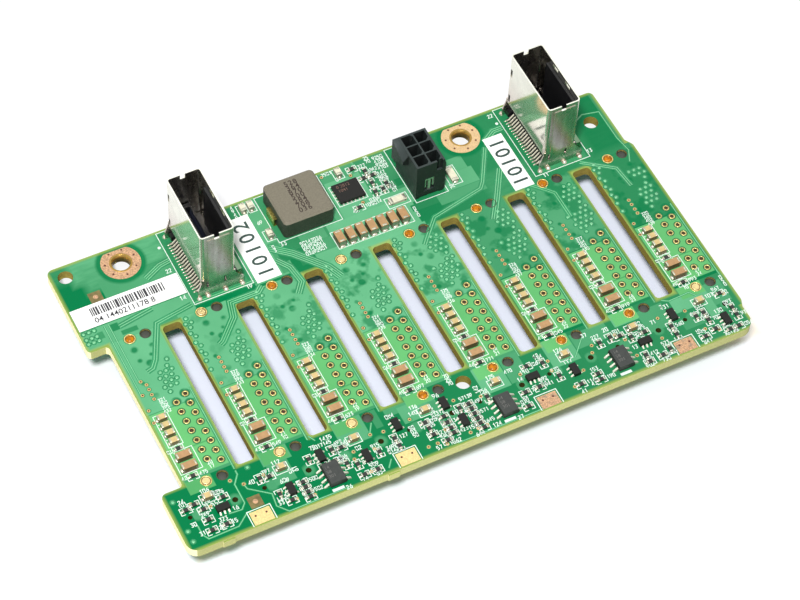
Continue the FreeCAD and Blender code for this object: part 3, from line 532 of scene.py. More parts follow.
# Broad soft areas of a paler, streaked tone, painted first: mostly painted sheen of the glossy
# mask, partly copper under it.
BOARD_SHEEN_AND_COPPER_CLOUDS = (
    (-12.5, -7.4, 37.6, 42.3, 0.2), (-7.4, 13.5, 36.0, 42.3, 0.62), (-5.4, 0.0, 33.0, 39.0, 0.5),
    (8.0, 13.5, 31.0, 42.3, 0.6), (84.0, 96.0, 18.0, 26.0, 0.3), (110.2, 120.0, 21.0, 42.4, 0.06),
)
# Tone of each bay's upper half and lower half, and of the square of copper round its front lock.
BAY_TONES = (
    (0.86, 0.92, 0.58), (0.82, 0.84, 0.58), (0.8, 0.84, 0.62), (0.92, 0.9, 0.8),
    (0.88, 0.86, 0.9), (0.4, 0.88, 0.92), (0.52, 0.88, 0.95), (0.16, 0.86, 0.8),
)
# Spots without copper in every bay, from its first pin: x, y, inner radius, outer radius.
BAY_SPOTS = (
    (-2.6, 15.7, 0.5, 1.0), (-0.9, 11.4, 0.6, 1.0), (-2.6, 12.7, 0.3, 0.7), (1.3, 15.4, 0.3, 0.8),
    (0.2, 13.3, 0.2, 0.6), (2.7, 11.1, 0.3, 0.7), (0.0, 0.15, 1.0, 1.25), (2.54, 1.5, 1.0, 1.25),
    (2.54, -1.1, 0.95, 1.2), (-2.33, 18.7, 1.2, 1.5), (-4.3, 7.2, 0.3, 0.6), (-3.0, 3.4, 0.4, 0.8),
)


class BACKPLANE_OT_board(bpy.types.Operator):
    """Finish of the bare board: mask over copper and laminate, pale routed edge, slot walls"""

    bl_idname = "backplane.board"
    bl_label = "Board"

    def execute(self, context):
        tone = context.scene.backplane_colours
        finish = Finish("mask_and_laminate", tone.mask, 0.22)
        within = finish.within
        blend = finish.blend
        x, y, z = finish.along()
        normal = finish.facing()
        upright = abs(normal[2]) > 0.5
        weave = finish.noise(0.5, 2.0)
        blot = finish.noise(4.2, 3.0)
        drift = finish.noise(9.0, 2.0)
        local = (x - BAY_LEFT) % BAY_PITCH + BAY_LEFT

        # How much copper shows through the mask; in the streaked clouds and the rings round the
        # small holes it also carries painted sheen.
        copper = x.ramp(20.0, 119.0, 0.0, 0.2)
        # Streaks in the broad clouds: painted sheen.
        sheen_streak = finish.noise(2.0, 3.0, (0.5, 2.4, 1.0)).ramp(0.35, 0.65, 0.82, 1.12)
        for *box, level in BOARD_SHEEN_AND_COPPER_CLOUDS:
            copper = copper + within(x, y, box, 1.1) * (sheen_streak * level - copper)
        for *box, level in BOARD_PATCHES:
            copper = copper + within(x, y, box) * (level - copper)
        for where in SCREW_HOLES:
            copper = copper * (1 - finish.round_patch(x, y, where, 5.1, 5.8) * 0.9)
        for bay, (upper, lower, lock) in enumerate(BAY_TONES):
            left = bay_x(bay) + BAY_LEFT
            holes = blot.ramp(0.56 - 0.012 * bay, 0.66 - 0.012 * bay) * min(0.7, 0.3 * bay)
            for box, level in (((left, left + 11.9, -18.6, 19.3), upper - 0.45),
                               ((left + 0.1, left + 11.2, -0.5, 19.3), upper * (1 - holes)),
                               ((left + 0.35, left + 10.6, -17.9, -0.75), lower),
                               ((left + 0.35, left + 6.0, -21.8, -18.6), lock)):
                copper = copper + within(x, y, box) * (level - copper)
        spots = 0.0
        for *where, inner, outer in BAY_SPOTS:
            spots = finish.round_patch(local, y, where, inner, outer).most(spots)
        copper = copper * (1 - spots * blot.ramp(0.36, 0.5, 0.35, 0.88))
        groove = within(local, y, (-2.4, 3.7, -11.3, -11.0)).most(
            within(local, y, (3.75, 4.7, -18.4, 2.4), 0.2) * 0.7)
        copper = copper * (1 - groove * 0.45)
        # A paler ring round each small hole near the front edge: painted sheen.
        sheen_ring = finish.round_patch(local % (BAY_PITCH / 2), y, (1.1, -26.5), 1.0, 1.7)
        copper = copper.most(sheen_ring * 0.42)
        copper = copper * drift.ramp(0.3, 0.7, 0.9, 1.08)

        # Distances from the seven slots, of which the second ends 1.1 sooner at the back and the
        # fourth 1.85 sooner at the front, from the board's sides and ends, and its left notch.
        half = BAY_PITCH / 2
        from_second = abs(x - (SLOT_X + BAY_PITCH))
        from_fourth = abs(x - (SLOT_X + 3 * BAY_PITCH))
        ends = (y - SLOT_BACK + (from_second < 4) * 1.1).most(
            (from_fourth < 4) * 1.85 + SLOT_FRONT - y)
        slot_far = (abs((x - SLOT_X + half) % BAY_PITCH - half) - SLOT_HALF).most(
            ends).most(from_fourth - 52.0)
        side_far = (x - LEFT_EDGE - (y > 0.0) * 0.5).least(
            RIGHT_EDGE - (y > 20.9) * 1.15 - (y < -28.0) * 0.7 - x)
        end_far = (y - FRONT_EDGE).least(BACK_EDGE - (x > 110.8) * 4.9 - y)
        rim_far = side_far.least(end_far)
        notch_far = (x + 7.1).most(abs(y) - 19.0)
        rim = slot_far.least(rim_far).least(abs(notch_far)).ramp(0.1, 0.85, 1.0, 0.0)

        face = blend(copper, tone.mask, tone.mask_copper)
        low_bay = within(local, y, (-6.55, 3.7, -17.9, -0.75), 0.4).most(
            within(local, y, (-6.55, -0.9, -21.8, -18.6)))
        face = blend(low_bay * 0.8, face, blend(copper, tone.mask, tone.mask_warm))
        face = blend(rim * 0.75, face, tone.mask_rim)
        under = blend(drift.ramp(0.4, 0.6), tone.mask, toned(tone.mask, 1.8))
        face = blend(normal[2] > 0, under, face)

        # Upright faces: the routed edge, which is duller towards both ends, or the wall of a hole
        # or slot, painted a darker brown as shade in the recess; the same brown marks the ply
        # seams.
        notch = (x < BAY_LEFT) * (abs(y) < 19.4)
        inside = (rim_far > 0.9) * (1 - notch) * (side_far + end_far > 4.0)
        fibre = weave.ramp(0.3, 0.7)
        edge = blend(fibre, toned(tone.laminate, 0.86), tone.laminate)
        wall = blend(fibre, toned(tone.slot_wall, 0.75), tone.slot_wall)
        ply = ((z / 0.47) % 1.0).ramp(0.0, 0.25, 0.95, 1.0)
        edge = blend(abs(x - 52.0).ramp(20.0, 66.0, 0.0, 0.4), edge, toned(tone.laminate, 0.5))
        # Left-facing edges take the brighter laminate colour: a painted highlight on the lit side.
        edge = blend(normal[0] < -0.4, edge, tone.laminate_left)
        side = blend(1 - ply, blend(inside, edge, wall), tone.slot_wall)
        # The walls of the small holes by the front edge are painted nearly black: painted shade
        # inside the holes.
        side = blend((abs(y + 26.5) < 1.3) * inside * 0.85, side, (0.01, 0.015, 0.004))
        finish.coat({"Base Color": blend(upright, side, face),
                     "Roughness": upright.ramp(0, 1, 0.75, 0.24), "Specular IOR Level": 0.06})
        finish.bump(weave, 0.005)
        dress("circuit_board", finish)
        return {"FINISHED"}


# ---- copper -----------------------------------------------------------------------------------
# Lower and upper height of what lies on the board's face.
CHANNEL = (0.0, 0.012)
TRACE = (0.0, 0.022)
PAD = (0.0, 0.03)
INK = (0.0, 0.04)
FIDUCIALS = ((-4.5, 31.7), (4.6, -28.6))
# Vias in a bay, from its first pin, and elsewhere on the board.
BAY_OPEN_VIAS = ((-3.8, 6.6), (-3.8, 5.3), (-3.8, 3.9), (-3.8, 2.7), (-6.0, 0.5), (-6.2, -2.7))
BAY_VIAS = (
    (2.6, 10.8), (2.0, 9.3), (0.0, 8.2), (1.3, 8.2), (2.6, 8.2), (-0.6, 6.9), (0.7, 6.9),
    (2.0, 6.9), (0.1, 5.6), (1.4, 5.6), (2.6, 5.6), (-0.6, 4.4), (0.7, 4.4), (2.0, 4.4),
    (0.0, 3.0),
)
FAR_BAY_VIAS = (
    (3.3, 12.2), (2.0, 12.2), (0.8, 12.2), (2.7, 13.5), (1.4, 13.5), (0.1, 13.5), (3.4, 14.7),
    (2.1, 14.7), (0.8, 14.7), (2.8, 16.0), (1.5, 16.0), (-1.8, 8.1), (-1.2, 5.6), (3.4, 6.9),
    (3.3, 9.4),
)
BAY_LEFT_VIAS = (
    (-6.0, 18.5), (-6.6, 17.2), (-5.3, 17.2), (-6.0, 16.0), (-6.6, 14.6), (-5.9, 13.5),
    (-6.6, 12.0), (-5.9, 10.9), (-6.5, 9.5), (-5.9, 8.5), (-6.5, 6.9), (-6.5, 4.5),
)
BOARD_VIAS = (
    (-10.6, 23.8), (-9.4, 23.8), (-8.2, 23.8), (-10.6, 22.2), (-9.4, 22.2), (-8.2, 22.2),
    (-10.6, 21.0), (-9.4, 21.0), (-8.2, 21.0), (-10.5, -21.8), (-10.5, -29.3), (-10.5, -31.9),
    (6.5, -20.6),
)
BOARD_OPEN_VIAS = (
    (-4.6, 7.8), (-5.6, 4.5), (-7.4, -23.7), (-4.0, -25.8), (4.2, -23.9), (8.7, -23.6),
    (10.0, -28.9), (12.4, -31.6), (16.1, -32.3), (2.0, -22.0), (27.6, -26.4), (27.0, -28.1),
    (31.8, -27.6), (28.8, -32.2), (32.5, -24.1), (35.3, -24.6), (41.5, -24.2), (42.0, -31.9),
    (44.1, -31.9), (45.8, -32.9), (47.0, -29.6), (51.8, -23.9), (51.4, -32.4), (53.3, -32.2),
    (55.4, -32.2), (57.4, -25.4), (67.4, -24.0), (65.6, -31.7), (74.2, -23.5), (73.8, -26.0),
    (76.3, -31.6), (79.9, -28.7), (83.7, -25.6), (84.5, -23.9), (90.2, -23.6), (91.6, -25.6),
    (98.9, -28.6), (91.9, -30.2), (100.6, -23.7), (108.4, -30.4), (111.0, -31.8), (116.6, -24.0),
    (106.8, -24.5), (52.6, 40.6), (57.8, 30.6), (58.6, 38.4),
)
# Path, how many side by side, spacing.
TRACES = (
    ([(-5.9, 4.6), (-5.9, 24.0)], 1, 0.5),
    ([(-4.9, 8.0), (-4.9, 24.0)], 1, 0.5),
    ([(-2.3, 9.5), (-0.9, 9.9), (0.4, 11.6), (4.4, 20.0), (13.0, 21.4)], 2, 0.55),
    ([(-3.0, 22.6), (5.0, 24.0)], 2, 0.6),
    ([(13.4, 21.3), (29.2, 21.3)], 2, 0.5),
    ([(14.2, 9.4), (15.1, 9.9), (19.6, 14.6), (20.6, 18.4), (27.0, 18.4), (28.4, 19.6)], 3, 0.5),
    ([(7.0, 31.6), (11.0, 33.6), (13.4, 34.0)], 3, 0.5),
    ([(34.0, 28.0), (38.0, 24.6), (41.0, 21.0), (43.4, 18.0), (44.8, 14.6)], 4, 0.5),
    ([(34.0, 24.4), (36.0, 21.5), (36.6, 17.0), (34.6, 14.4)], 3, 0.5),
    ([(64.8, 14.6), (66.0, 16.0), (70.0, 20.4), (82.8, 23.2), (84.0, 24.6),
      (89.0, 33.0)], 2, 0.5),
    ([(81.5, 14.4), (84.6, 19.0), (89.2, 26.4)], 3, 0.5),
    ([(89.6, 34.4), (92.8, 36.4), (95.0, 36.4)], 3, 0.5),
    ([(93.0, 19.6), (96.0, 16.4), (97.0, 15.2), (97.0, 8.0)], 2, 0.5),
    ([(106.0, 20.4), (112.6, 15.6), (113.2, 10.0)], 2, 0.5),
    ([(110.8, 31.0), (113.0, 32.2), (116.9, 31.4), (116.9, 23.0), (117.6, 19.0),
      (116.2, 16.0)], 1, 0.5),
    ([(3.4, -31.0), (2.0, -30.3), (-0.8, -32.5), (-7.4, -32.6), (-8.2, -31.2),
      (-8.2, -28.9)], 1, 0.5),
    ([(4.2, -24.1), (4.4, -25.2), (8.4, -28.4), (8.0, -31.4), (9.8, -33.6),
      (24.0, -33.6)], 1, 0.5),
    ([(4.0, -20.2), (4.0, -21.2), (2.5, -23.2), (2.5, -28.0), (1.4, -29.2),
      (-1.4, -29.0)], 1, 0.5),
    ([(20.9, -19.0), (21.7, -20.6)], 1, 0.5),
    ([(32.6, -23.8), (34.0, -21.6)], 1, 0.5),
    ([(32.4, -33.0), (33.8, -31.2)], 1, 0.5),
    ([(70.0, -33.6), (48.0, -33.6)], 1, 0.5),
    ([(103.6, -20.0), (105.0, -20.8), (110.0, -20.6), (111.0, -22.0)], 1, 0.5),
    ([(84.0, -20.8), (80.0, -25.0)], 1, 0.5),
)


def in_bays(points, bays=range(BAYS)):
    """Points of one bay, in each of the bays."""
    return [(x + bay_x(bay), y) for bay in bays for x, y in points]


def edge_pad(x):
    return plate(frame_path(x - 2.2, x + 2.2, -33.85, -30.65), *PAD)


def screw_ring(x, y):
    """Copper ring of a screw hole: outer and inner circle as one closed band, cut flat behind."""
    steps = 64
    angle = np.arange(steps) * 2 * np.pi / steps
    outer = np.column_stack([4.35 * np.cos(angle), np.minimum(4.35 * np.sin(angle), 3.5)])
    inner = 2.5 * np.column_stack([np.cos(angle), np.sin(angle)])
    rows = [(inner, 0.0), (inner, 0.05), (outer, 0.05), (outer, 0.0), (inner, 0.0)]
    points = np.concatenate([np.column_stack([xy + (x, y), np.full(steps, z)]) for xy, z in rows])
    return welded(points, grid_faces(len(rows), steps, True))


class BACKPLANE_OT_copper(bpy.types.Operator):
    """Traces, covered and open vias, pads and the rings round the screw holes"""

    bl_idname = "backplane.copper"
    bl_label = "Copper under and over the mask"

    def execute(self, context):
        tone = context.scene.backplane_colours
        size = context.scene.backplane_sizes
        over = mottled("mask_over_trace", tone.mask_trace, 0.25, grain=3.0, spread=0.1)
        channel = mottled("mask_between_copper", tone.mask_gap, 0.25, grain=4.0)
        gold = mottled("gold_plate", tone.gold, 0.42, 0.35, grain=0.35, spread=0.16, depth=0.012)
        copper = mottled("bare_copper", tone.copper, 0.45, 0.4, grain=0.45, spread=0.3,
                         depth=0.014)
        along = copper.along()
        bright = copper.blend(copper.noise(0.3, 2.0).ramp(0.4, 0.6), toned(tone.copper, 0.62),
                              tone.copper)
        rubbed = copper.noise(1.3).ramp(0.52, 0.64) * (1 - along[1].ramp(-29.0, -28.0)) * 0.6
        bright = copper.blend(rubbed, bright, shade(120, 120, 108))
        pale = along[1].ramp(0.0, 30.0) * along[0].ramp(20.0, 70.0, 0.0, 0.5)
        copper.coat({"Base Color": copper.blend(pale, bright, shade(232, 206, 150))})

        runs = []
        wide = []
        for path, count, gap in TRACES:
            path = np.array(path, float)
            runs += [path + sideways(path) * ((index - (count - 1) / 2) * gap)
                     for index in range(count)]
            if count > 1:
                wide.append(strip(path, count * gap + 0.35, 0.0, 0.01))
        runs += [[(4.0 + bay_x(bay), -19.8), (4.0 + bay_x(bay), 2.0)] for bay in range(BAYS)]
        width = size.trace_width / MM
        make_piece("traces", [strip(path, width, *TRACE) for path in runs], over)
        make_piece("trace_channels", [strip(path, 0.42, *CHANNEL) for path in runs] + wide,
                   channel)

        via = size.via_radius / MM
        bump = turned(((0, 0.12), (0.5, 0.11), (0.85, 0.07), (1.0, 0.0), (0, 0)), 8, (via, via))
        vias = [*in_bays(BAY_VIAS), *in_bays(BAY_LEFT_VIAS, range(1, 8)),
                *in_bays(FAR_BAY_VIAS, range(4, 7)), *in_bays(FAR_BAY_VIAS[:6], (7,)), *BOARD_VIAS]
        repeat("covered_vias", bump, vias, over, True, 0.01)
        repeat("via_clearances", disc(1.75 * via, 0.008, 8), vias, channel, False, 0.01)

        ring = turned(((0.18, 0.03), (0.2, 0.05), (0.38, 0.05), (0.42, 0.0), (0.18, 0.0),
                       (0.18, 0.03)), 8)
        vias = [*in_bays(BAY_OPEN_VIAS), *BOARD_OPEN_VIAS]
        old = mottled("via_gold", shade(206, 172, 112), 0.4, 0.4, grain=0.3, spread=0.25)
        repeat("open_vias", ring, vias, old)
        repeat("open_via_clearances", disc(0.6, 0.009, 8), vias, channel)
        # Near-black discs in the open vias: painted shade in the holes.
        dark = mottled("via_hole", (0.03, 0.02, 0.01), 0.8)
        repeat("via_holes", disc(0.19, 0.03, 8), vias, dark)

        make_piece("gold_edge_pads", [edge_pad(x) for x in EDGE_PADS_X[:2]], gold)
        pads = [edge_pad(x) for x in EDGE_PADS_X[2:]]
        pads += [plate(circle_path(x, y, 0.55, 16), 0.0, 0.035) for x, y in FIDUCIALS]
        pads += [screw_ring(x, y) for x, y in SCREW_HOLES]
        make_piece("bare_copper_pads", pads, copper)
        keep = [plate(frame_path(x - 1.4, x + 1.4, y - 1.4, y + 1.4), 0.0, 0.02)
                for x, y in FIDUCIALS]
        earth = mottled("bare_laminate", shade(112, 100, 56), 0.6, grain=0.9, spread=0.3,
                        depth=0.01)
        make_piece("bare_laminate_squares", keep, earth)

        collar = turned(((2.12, 0.03), (2.16, 0.06), (2.5, 0.06), (2.55, 0.0), (2.12, 0.0),
                         (2.12, 0.03)), 48)
        wall = turned(((2.04, 0.0), (2.085, 0.0), (2.085, -THICKNESS), (2.04, -THICKNESS),
                       (2.04, 0.0)), 48)
        plating = mottled("hole_plating", shade(168, 134, 66), 0.35, 0.8, grain=0.6, depth=0.01)
        make_piece("screw_hole_barrels", [copies(shape, SCREW_HOLES) for shape in (collar, wall)],
                   plating, True)
        angle = np.radians(14 + 360 / 7 * np.arange(7))
        on_rings = [(x + 3.42 * math.cos(a), y + 3.42 * math.sin(a))
                    for x, y in SCREW_HOLES for a in angle]
        on_pads = [(x + side, -31.75) for x in EDGE_PADS_X for side in (-1.2, 1.2)]
        # Dark brown discs for the stitching holes: painted shade in the holes.
        stitch = disc(0.24, 0.02, 8)
        make_piece("ring_stitches", [copies(stitch, on_rings, 0.06), copies(stitch, on_pads, 0.03)],
                   mottled("stitch_hole", shade(84, 34, 20), 0.6))
        return {"FINISHED"}


# ---- legend -----------------------------------------------------------------------------------
# Text, x, y and, where they aren't 0.9 and 0, height and quarter turns.
LEGEND_DIGITS = (
    ("24", -9.6, -22.9), ("106", -4.6, -22.4), ("38", -1.3, -24.0, 0.9, 1),
    ("17", -0.3, -24.0, 0.9, 1), ("30", -9.4, -28.8), ("31", -8.6, -31.4), ("16", -0.2, -28.7),
    ("15", -1.6, -31.4), ("40", 5.2, -24.6), ("112", 11.2, -22.4), ("52", 14.6, -25.6, 0.9, 1),
    ("61", 15.6, -25.6, 0.9, 1), ("9", 12.4, -27.2), ("33", 8.6, -31.6), ("26", 22.6, -34.0),
    ("1435", 22.6, -21.4), ("2017145", 20.4, -22.5, 0.8, 0), ("17", 28.8, -30.9),
    ("74", 26.4, -33.6), ("63", 29.6, -33.6), ("34", 37.8, -22.2), ("140", 41.8, -23.6),
    ("136", 42.6, -22.2, 0.8, 0), ("35", 32.6, -29.0, 0.9, 1), ("57", 43.4, -33.4),
    ("1062", 46.4, -33.4), ("150", 51.6, -31.8), ("644", 52.2, -33.9), ("124", 56.4, -33.4),
    ("27", 62.0, -33.9), ("57139", 53.0, -24.6, 0.8, 0), ("125", 60.4, -22.4),
    ("142", 57.8, -24.4, 0.9, 1), ("44", 65.0, -30.2), ("62", 71.9, -21.7), ("126", 76.4, -22.4),
    ("41", 77.0, -33.9), ("43", 79.8, -33.0), ("37", 83.6, -21.4), ("14", 66.2, -25.6),
    ("20", 88.4, -22.0), ("13", 92.0, -28.6), ("702", 92.4, -33.9), ("738", 96.2, -34.0),
    ("24", 107.4, -26.4), ("3", 102.4, -21.9), ("641", 106.4, -33.8), ("73136", 111.4, -33.8),
    ("107", 112.6, -23.6), ("55", 117.6, -24.4, 0.9, 1), ("71", 98.6, -24.6),
    ("15", 107.2, -31.0, 0.9, 1), ("33", 96.6, -23.8, 0.9, 1), ("22", 95.4, -23.8, 0.9, 1),
    ("22", 11.6, 31.0), ("14", 11.4, 23.2, 1.0, 0), ("19", 25.4, 20.0),
    ("33", 36.7, 27.2, 1.0, 0), ("22", 93.6, 40.0), ("11", 97.0, 20.0), ("13", 109.0, 22.0),
    ("72", 78.0, 25.8, 1.0, 1), ("42", 54.8, 28.7), ("27", 55.2, 38.2),
)
# Close lines of small digits: x, y, columns, rows.
DIGIT_BLOCKS = (
    (40.6, 22.6, 8, 4), (63.2, 40.0, 2, 2), (65.0, 37.2, 4, 4), (64.2, 34.0, 3, 3),
    (65.2, 30.4, 2, 3), (59.4, 29.0, 4, 2), (52.8, 40.6, 4, 1), (31.0, 37.8, 1, 4),
    (34.6, 34.6, 2, 1), (34.8, 26.4, 1, 2), (67.0, 22.0, 1, 3), (52.6, -20.2, 2, 3),
    (64.6, -22.6, 3, 1), (70.4, -28.4, 3, 2), (34.0, -30.0, 4, 2), (40.4, -28.6, 2, 3),
    (44.6, -27.8, 2, 2), (46.0, -26.4, 2, 3), (26.2, -24.8, 2, 2), (24.4, -28.2, 1, 4),
    (118.0, -22.4, 1, 3), (109.6, -19.6, 2, 3),
)
INK_BARS_X = (21.0, 60.3, 87.7)
# Outlines round both cable sockets, the inductor, the power header and the input capacitors.
OUTLINES = (*[(13.6 + shift, 27.2 + shift, 21.0, 41.6) for shift in SOCKET_SHIFTS],
            (36.7, 51.8, 28.3, 41.5), (68.3, 76.1, 25.5, 41.6), (47.6, 65.7, 21.25, 26.0))


class BACKPLANE_OT_legend(bpy.types.Operator):
    """White ink: outlines round the parts, and plain digits beside them"""

    bl_idname = "backplane.legend"
    bl_label = "Printed legend"

    def execute(self, context):
        tone = context.scene.backplane_colours
        width = context.scene.backplane_sizes.legend_width / MM
        shapes = []

        def line(path, closed=False, thick=1.0):
            shapes.append(strip(path, width * thick, *INK, closed=closed))

        def outline(*box):
            line(frame_path(*box), True)

        def write(text, x, y, height, thick, quarter=0):
            shapes.extend(digits(str(text), x, y, height, thick, quarter, *INK))

        for node, count, gap in (("bay_front_capacitors", BAYS, 0.5), ("pale_capacitors", 4, 0.45),
                                 ("fuses", 2, 0.65), ("regulator_chip", 1, 0.4)):
            for centre, half in zip(*solid_boxes(node, count)):
                a, b = half[:2] + gap
                outline(centre[0] - a, centre[0] + a, centre[1] - b, centre[1] + b)
        for index, (centre, half) in enumerate(zip(*solid_boxes("chip_resistors", RESISTORS))):
            a, b = half[:2] + 0.42
            for side in (-1, 1):
                if half[0] >= half[1]:
                    path = ((side * 0.35, b), (side * a, b), (side * a, -b), (side * 0.35, -b))
                else:
                    path = ((a, side * 0.35), (a, side * b), (-a, side * b), (-a, side * 0.35))
                line(centre[:2] + path)
            at_right = index % 2 or centre[1] > 37
            x, y = centre[:2] + ((half[0] + 0.75, -0.4) if at_right else (-0.95, half[1] + 0.7))
            write(101 + index * 37 % 899, x, y, 0.82, 0.14)
        for index, (centre, half) in enumerate(zip(*solid_boxes("small_chips", 12))):
            write(61 + index * 7, centre[0] - half[0] - 0.4, centre[1] + half[1] + 0.9, 0.9, 0.15)
        for bay in range(BAYS):
            x = bay_x(bay)
            outline(x - 5.9, x - 2.75, -9.6, -1.35)
            outline(x - 6.3, x - 1.55, -16.65, -10.95)
            for row in range(3):
                line([(x - 5.9, -3.63 - 2.06 * row), (x - 5.4, -3.63 - 2.06 * row)])
            for row in range(4):
                write(321 + bay + row * 37, x - 3.2, 1.55 - row * 1.0, 0.72, 0.13)
            for row in range(2):
                write(17 + bay + row * 3, x - 0.3, -17.6 + row * 1.05, 0.75, 0.13)
            write(42 + bay, x - 6.6, -18.0, 0.8, 0.13)
            write(81 + bay, x - 6.7, -10.9, 0.7, 0.13)
        for box in OUTLINES:
            outline(*box)
        shapes += [plate(circle_path(12.8 + shift, 37.9, 0.35, 12), *INK)
                   for shift in SOCKET_SHIFTS]
        for index in range(6):
            x = 49.86 + 2.53 * index
            line([(x, 21.3), (x, 22.4)])
            line([(x, 24.9), (x, 26.0)])
        for x in EDGE_PADS_X:
            line([(x - 2.55, -33.95), (x - 2.55, -30.3), (x + 2.55, -30.3), (x + 2.55, -33.95)],
                 thick=1.2)
        shapes += [plate(frame_path(x - 1.3, x + 1.3, -33.4, -32.75), *INK) for x in INK_BARS_X]
        for text, x, y, *more in LEGEND_DIGITS:
            height, quarter = more or (0.9, 0)
            write(text, x, y, height * 0.98, 0.16, quarter)
        for index, (x, y, columns, rows) in enumerate(DIGIT_BLOCKS):
            for row in range(rows):
                write("".join(str((index * 7 + row * 5 + k * 3) % 10) for k in range(columns)),
                      x, y + row * 1.0, 0.8, 0.15)
        ink = mottled("white_ink", tone.legend, 0.5, grain=0.4, spread=0.1)
        make_piece("legend", shapes, ink)
        return {"FINISHED"}


# ---- labels -----------------------------------------------------------------------------------
PORT_LABELS = ((27.9, 33.6, 20.4, 38.2, "2"), (89.4, 94.1, 19.3, 35.1, "1"))


def lettering(name, text, size, finish, where, thickness=0.02, spin=0.0, heavier=0.0,
              line=1.0, letter=1.0):
    """Digits from Blender's own font as a thin mesh: made flat, then turned and moved into
    place."""
    curve = bpy.data.curves.new(name, "FONT")
    curve.body = text
    curve.size = size * MM
    curve.extrude = thickness / 2 * MM
    curve.offset = heavier * MM
    curve.space_line = line
    curve.space_character = letter
    curve.resolution_u = 3
    holder = bpy.data.objects.new(name, curve)
    bpy.context.scene.collection.objects.link(holder)
    bpy.context.view_layer.update()
    mesh = bpy.data.meshes.new_from_object(holder)
    bpy.data.objects.remove(holder)
    flat = np.empty(len(mesh.vertices) * 3)
    mesh.vertices.foreach_get("co", flat)
    flat = flat.reshape(-1, 3)
    flat[:, :2] = flat[:, :2] @ turned_by(spin)
    flat += ORIGIN + MM * np.array(where)
    mesh.vertices.foreach_set("co", flat.ravel())
    put(name, mesh, finish)


class BACKPLANE_OT_labels(bpy.types.Operator):
    """Barcode label and the two socket labels, with plain bars and digits"""

    bl_idname = "backplane.labels"
    bl_label = "Labels"

    def execute(self, context):
        tone = context.scene.backplane_colours
        paper = mottled("label_paper", tone.paper, 0.55, grain=2.0, spread=0.02, depth=0.003)
        black = mottled("black_print", shade(36, 36, 42), 0.6, grain=0.3, spread=0.3)
        green = mottled("green_black_print", shade(40, 66, 58), 0.6, grain=0.3, spread=0.3)
        dress("barcode_label", paper)
        films = [plate(frame_path(*box), 0.0, 0.08) for *box, _ in PORT_LABELS]
        make_piece("socket_labels", films, paper)
        bars = []
        x = -7.1
        while x < 9.6:
            index = len(bars)
            wide = 0.24 + 0.2 * ((index * 7 + 3) % 4 == 0) + 0.12 * ((index * 5) % 3 == 1)
            bars.append(plate(frame_path(x, x + wide, 27.2, 29.4), 0.1, 0.115))
            x += wide + 0.16 + 0.15 * ((index * 11 + 2) % 5 < 2)
        make_piece("bars", bars, black)
        lettering("label_digits", "04 1440211178 8", 1.95, black,
                  (-7.1, 25.35, 0.11), heavier=0.02)
        for x0, x1, y0, y1, number in PORT_LABELS:
            for index, letter in enumerate("1010" + number):
                y = y0 + 1.1 + index * (y1 - y0 - 1.6) / 5
                lettering("socket_digit_" + number + "_" + str(index), letter, 4.9, green,
                          ((x0 + x1) / 2 + 1.75, y - 0.2, 0.09),
                          spin=math.pi / 2, heavier=0.05)
        return {"FINISHED"}


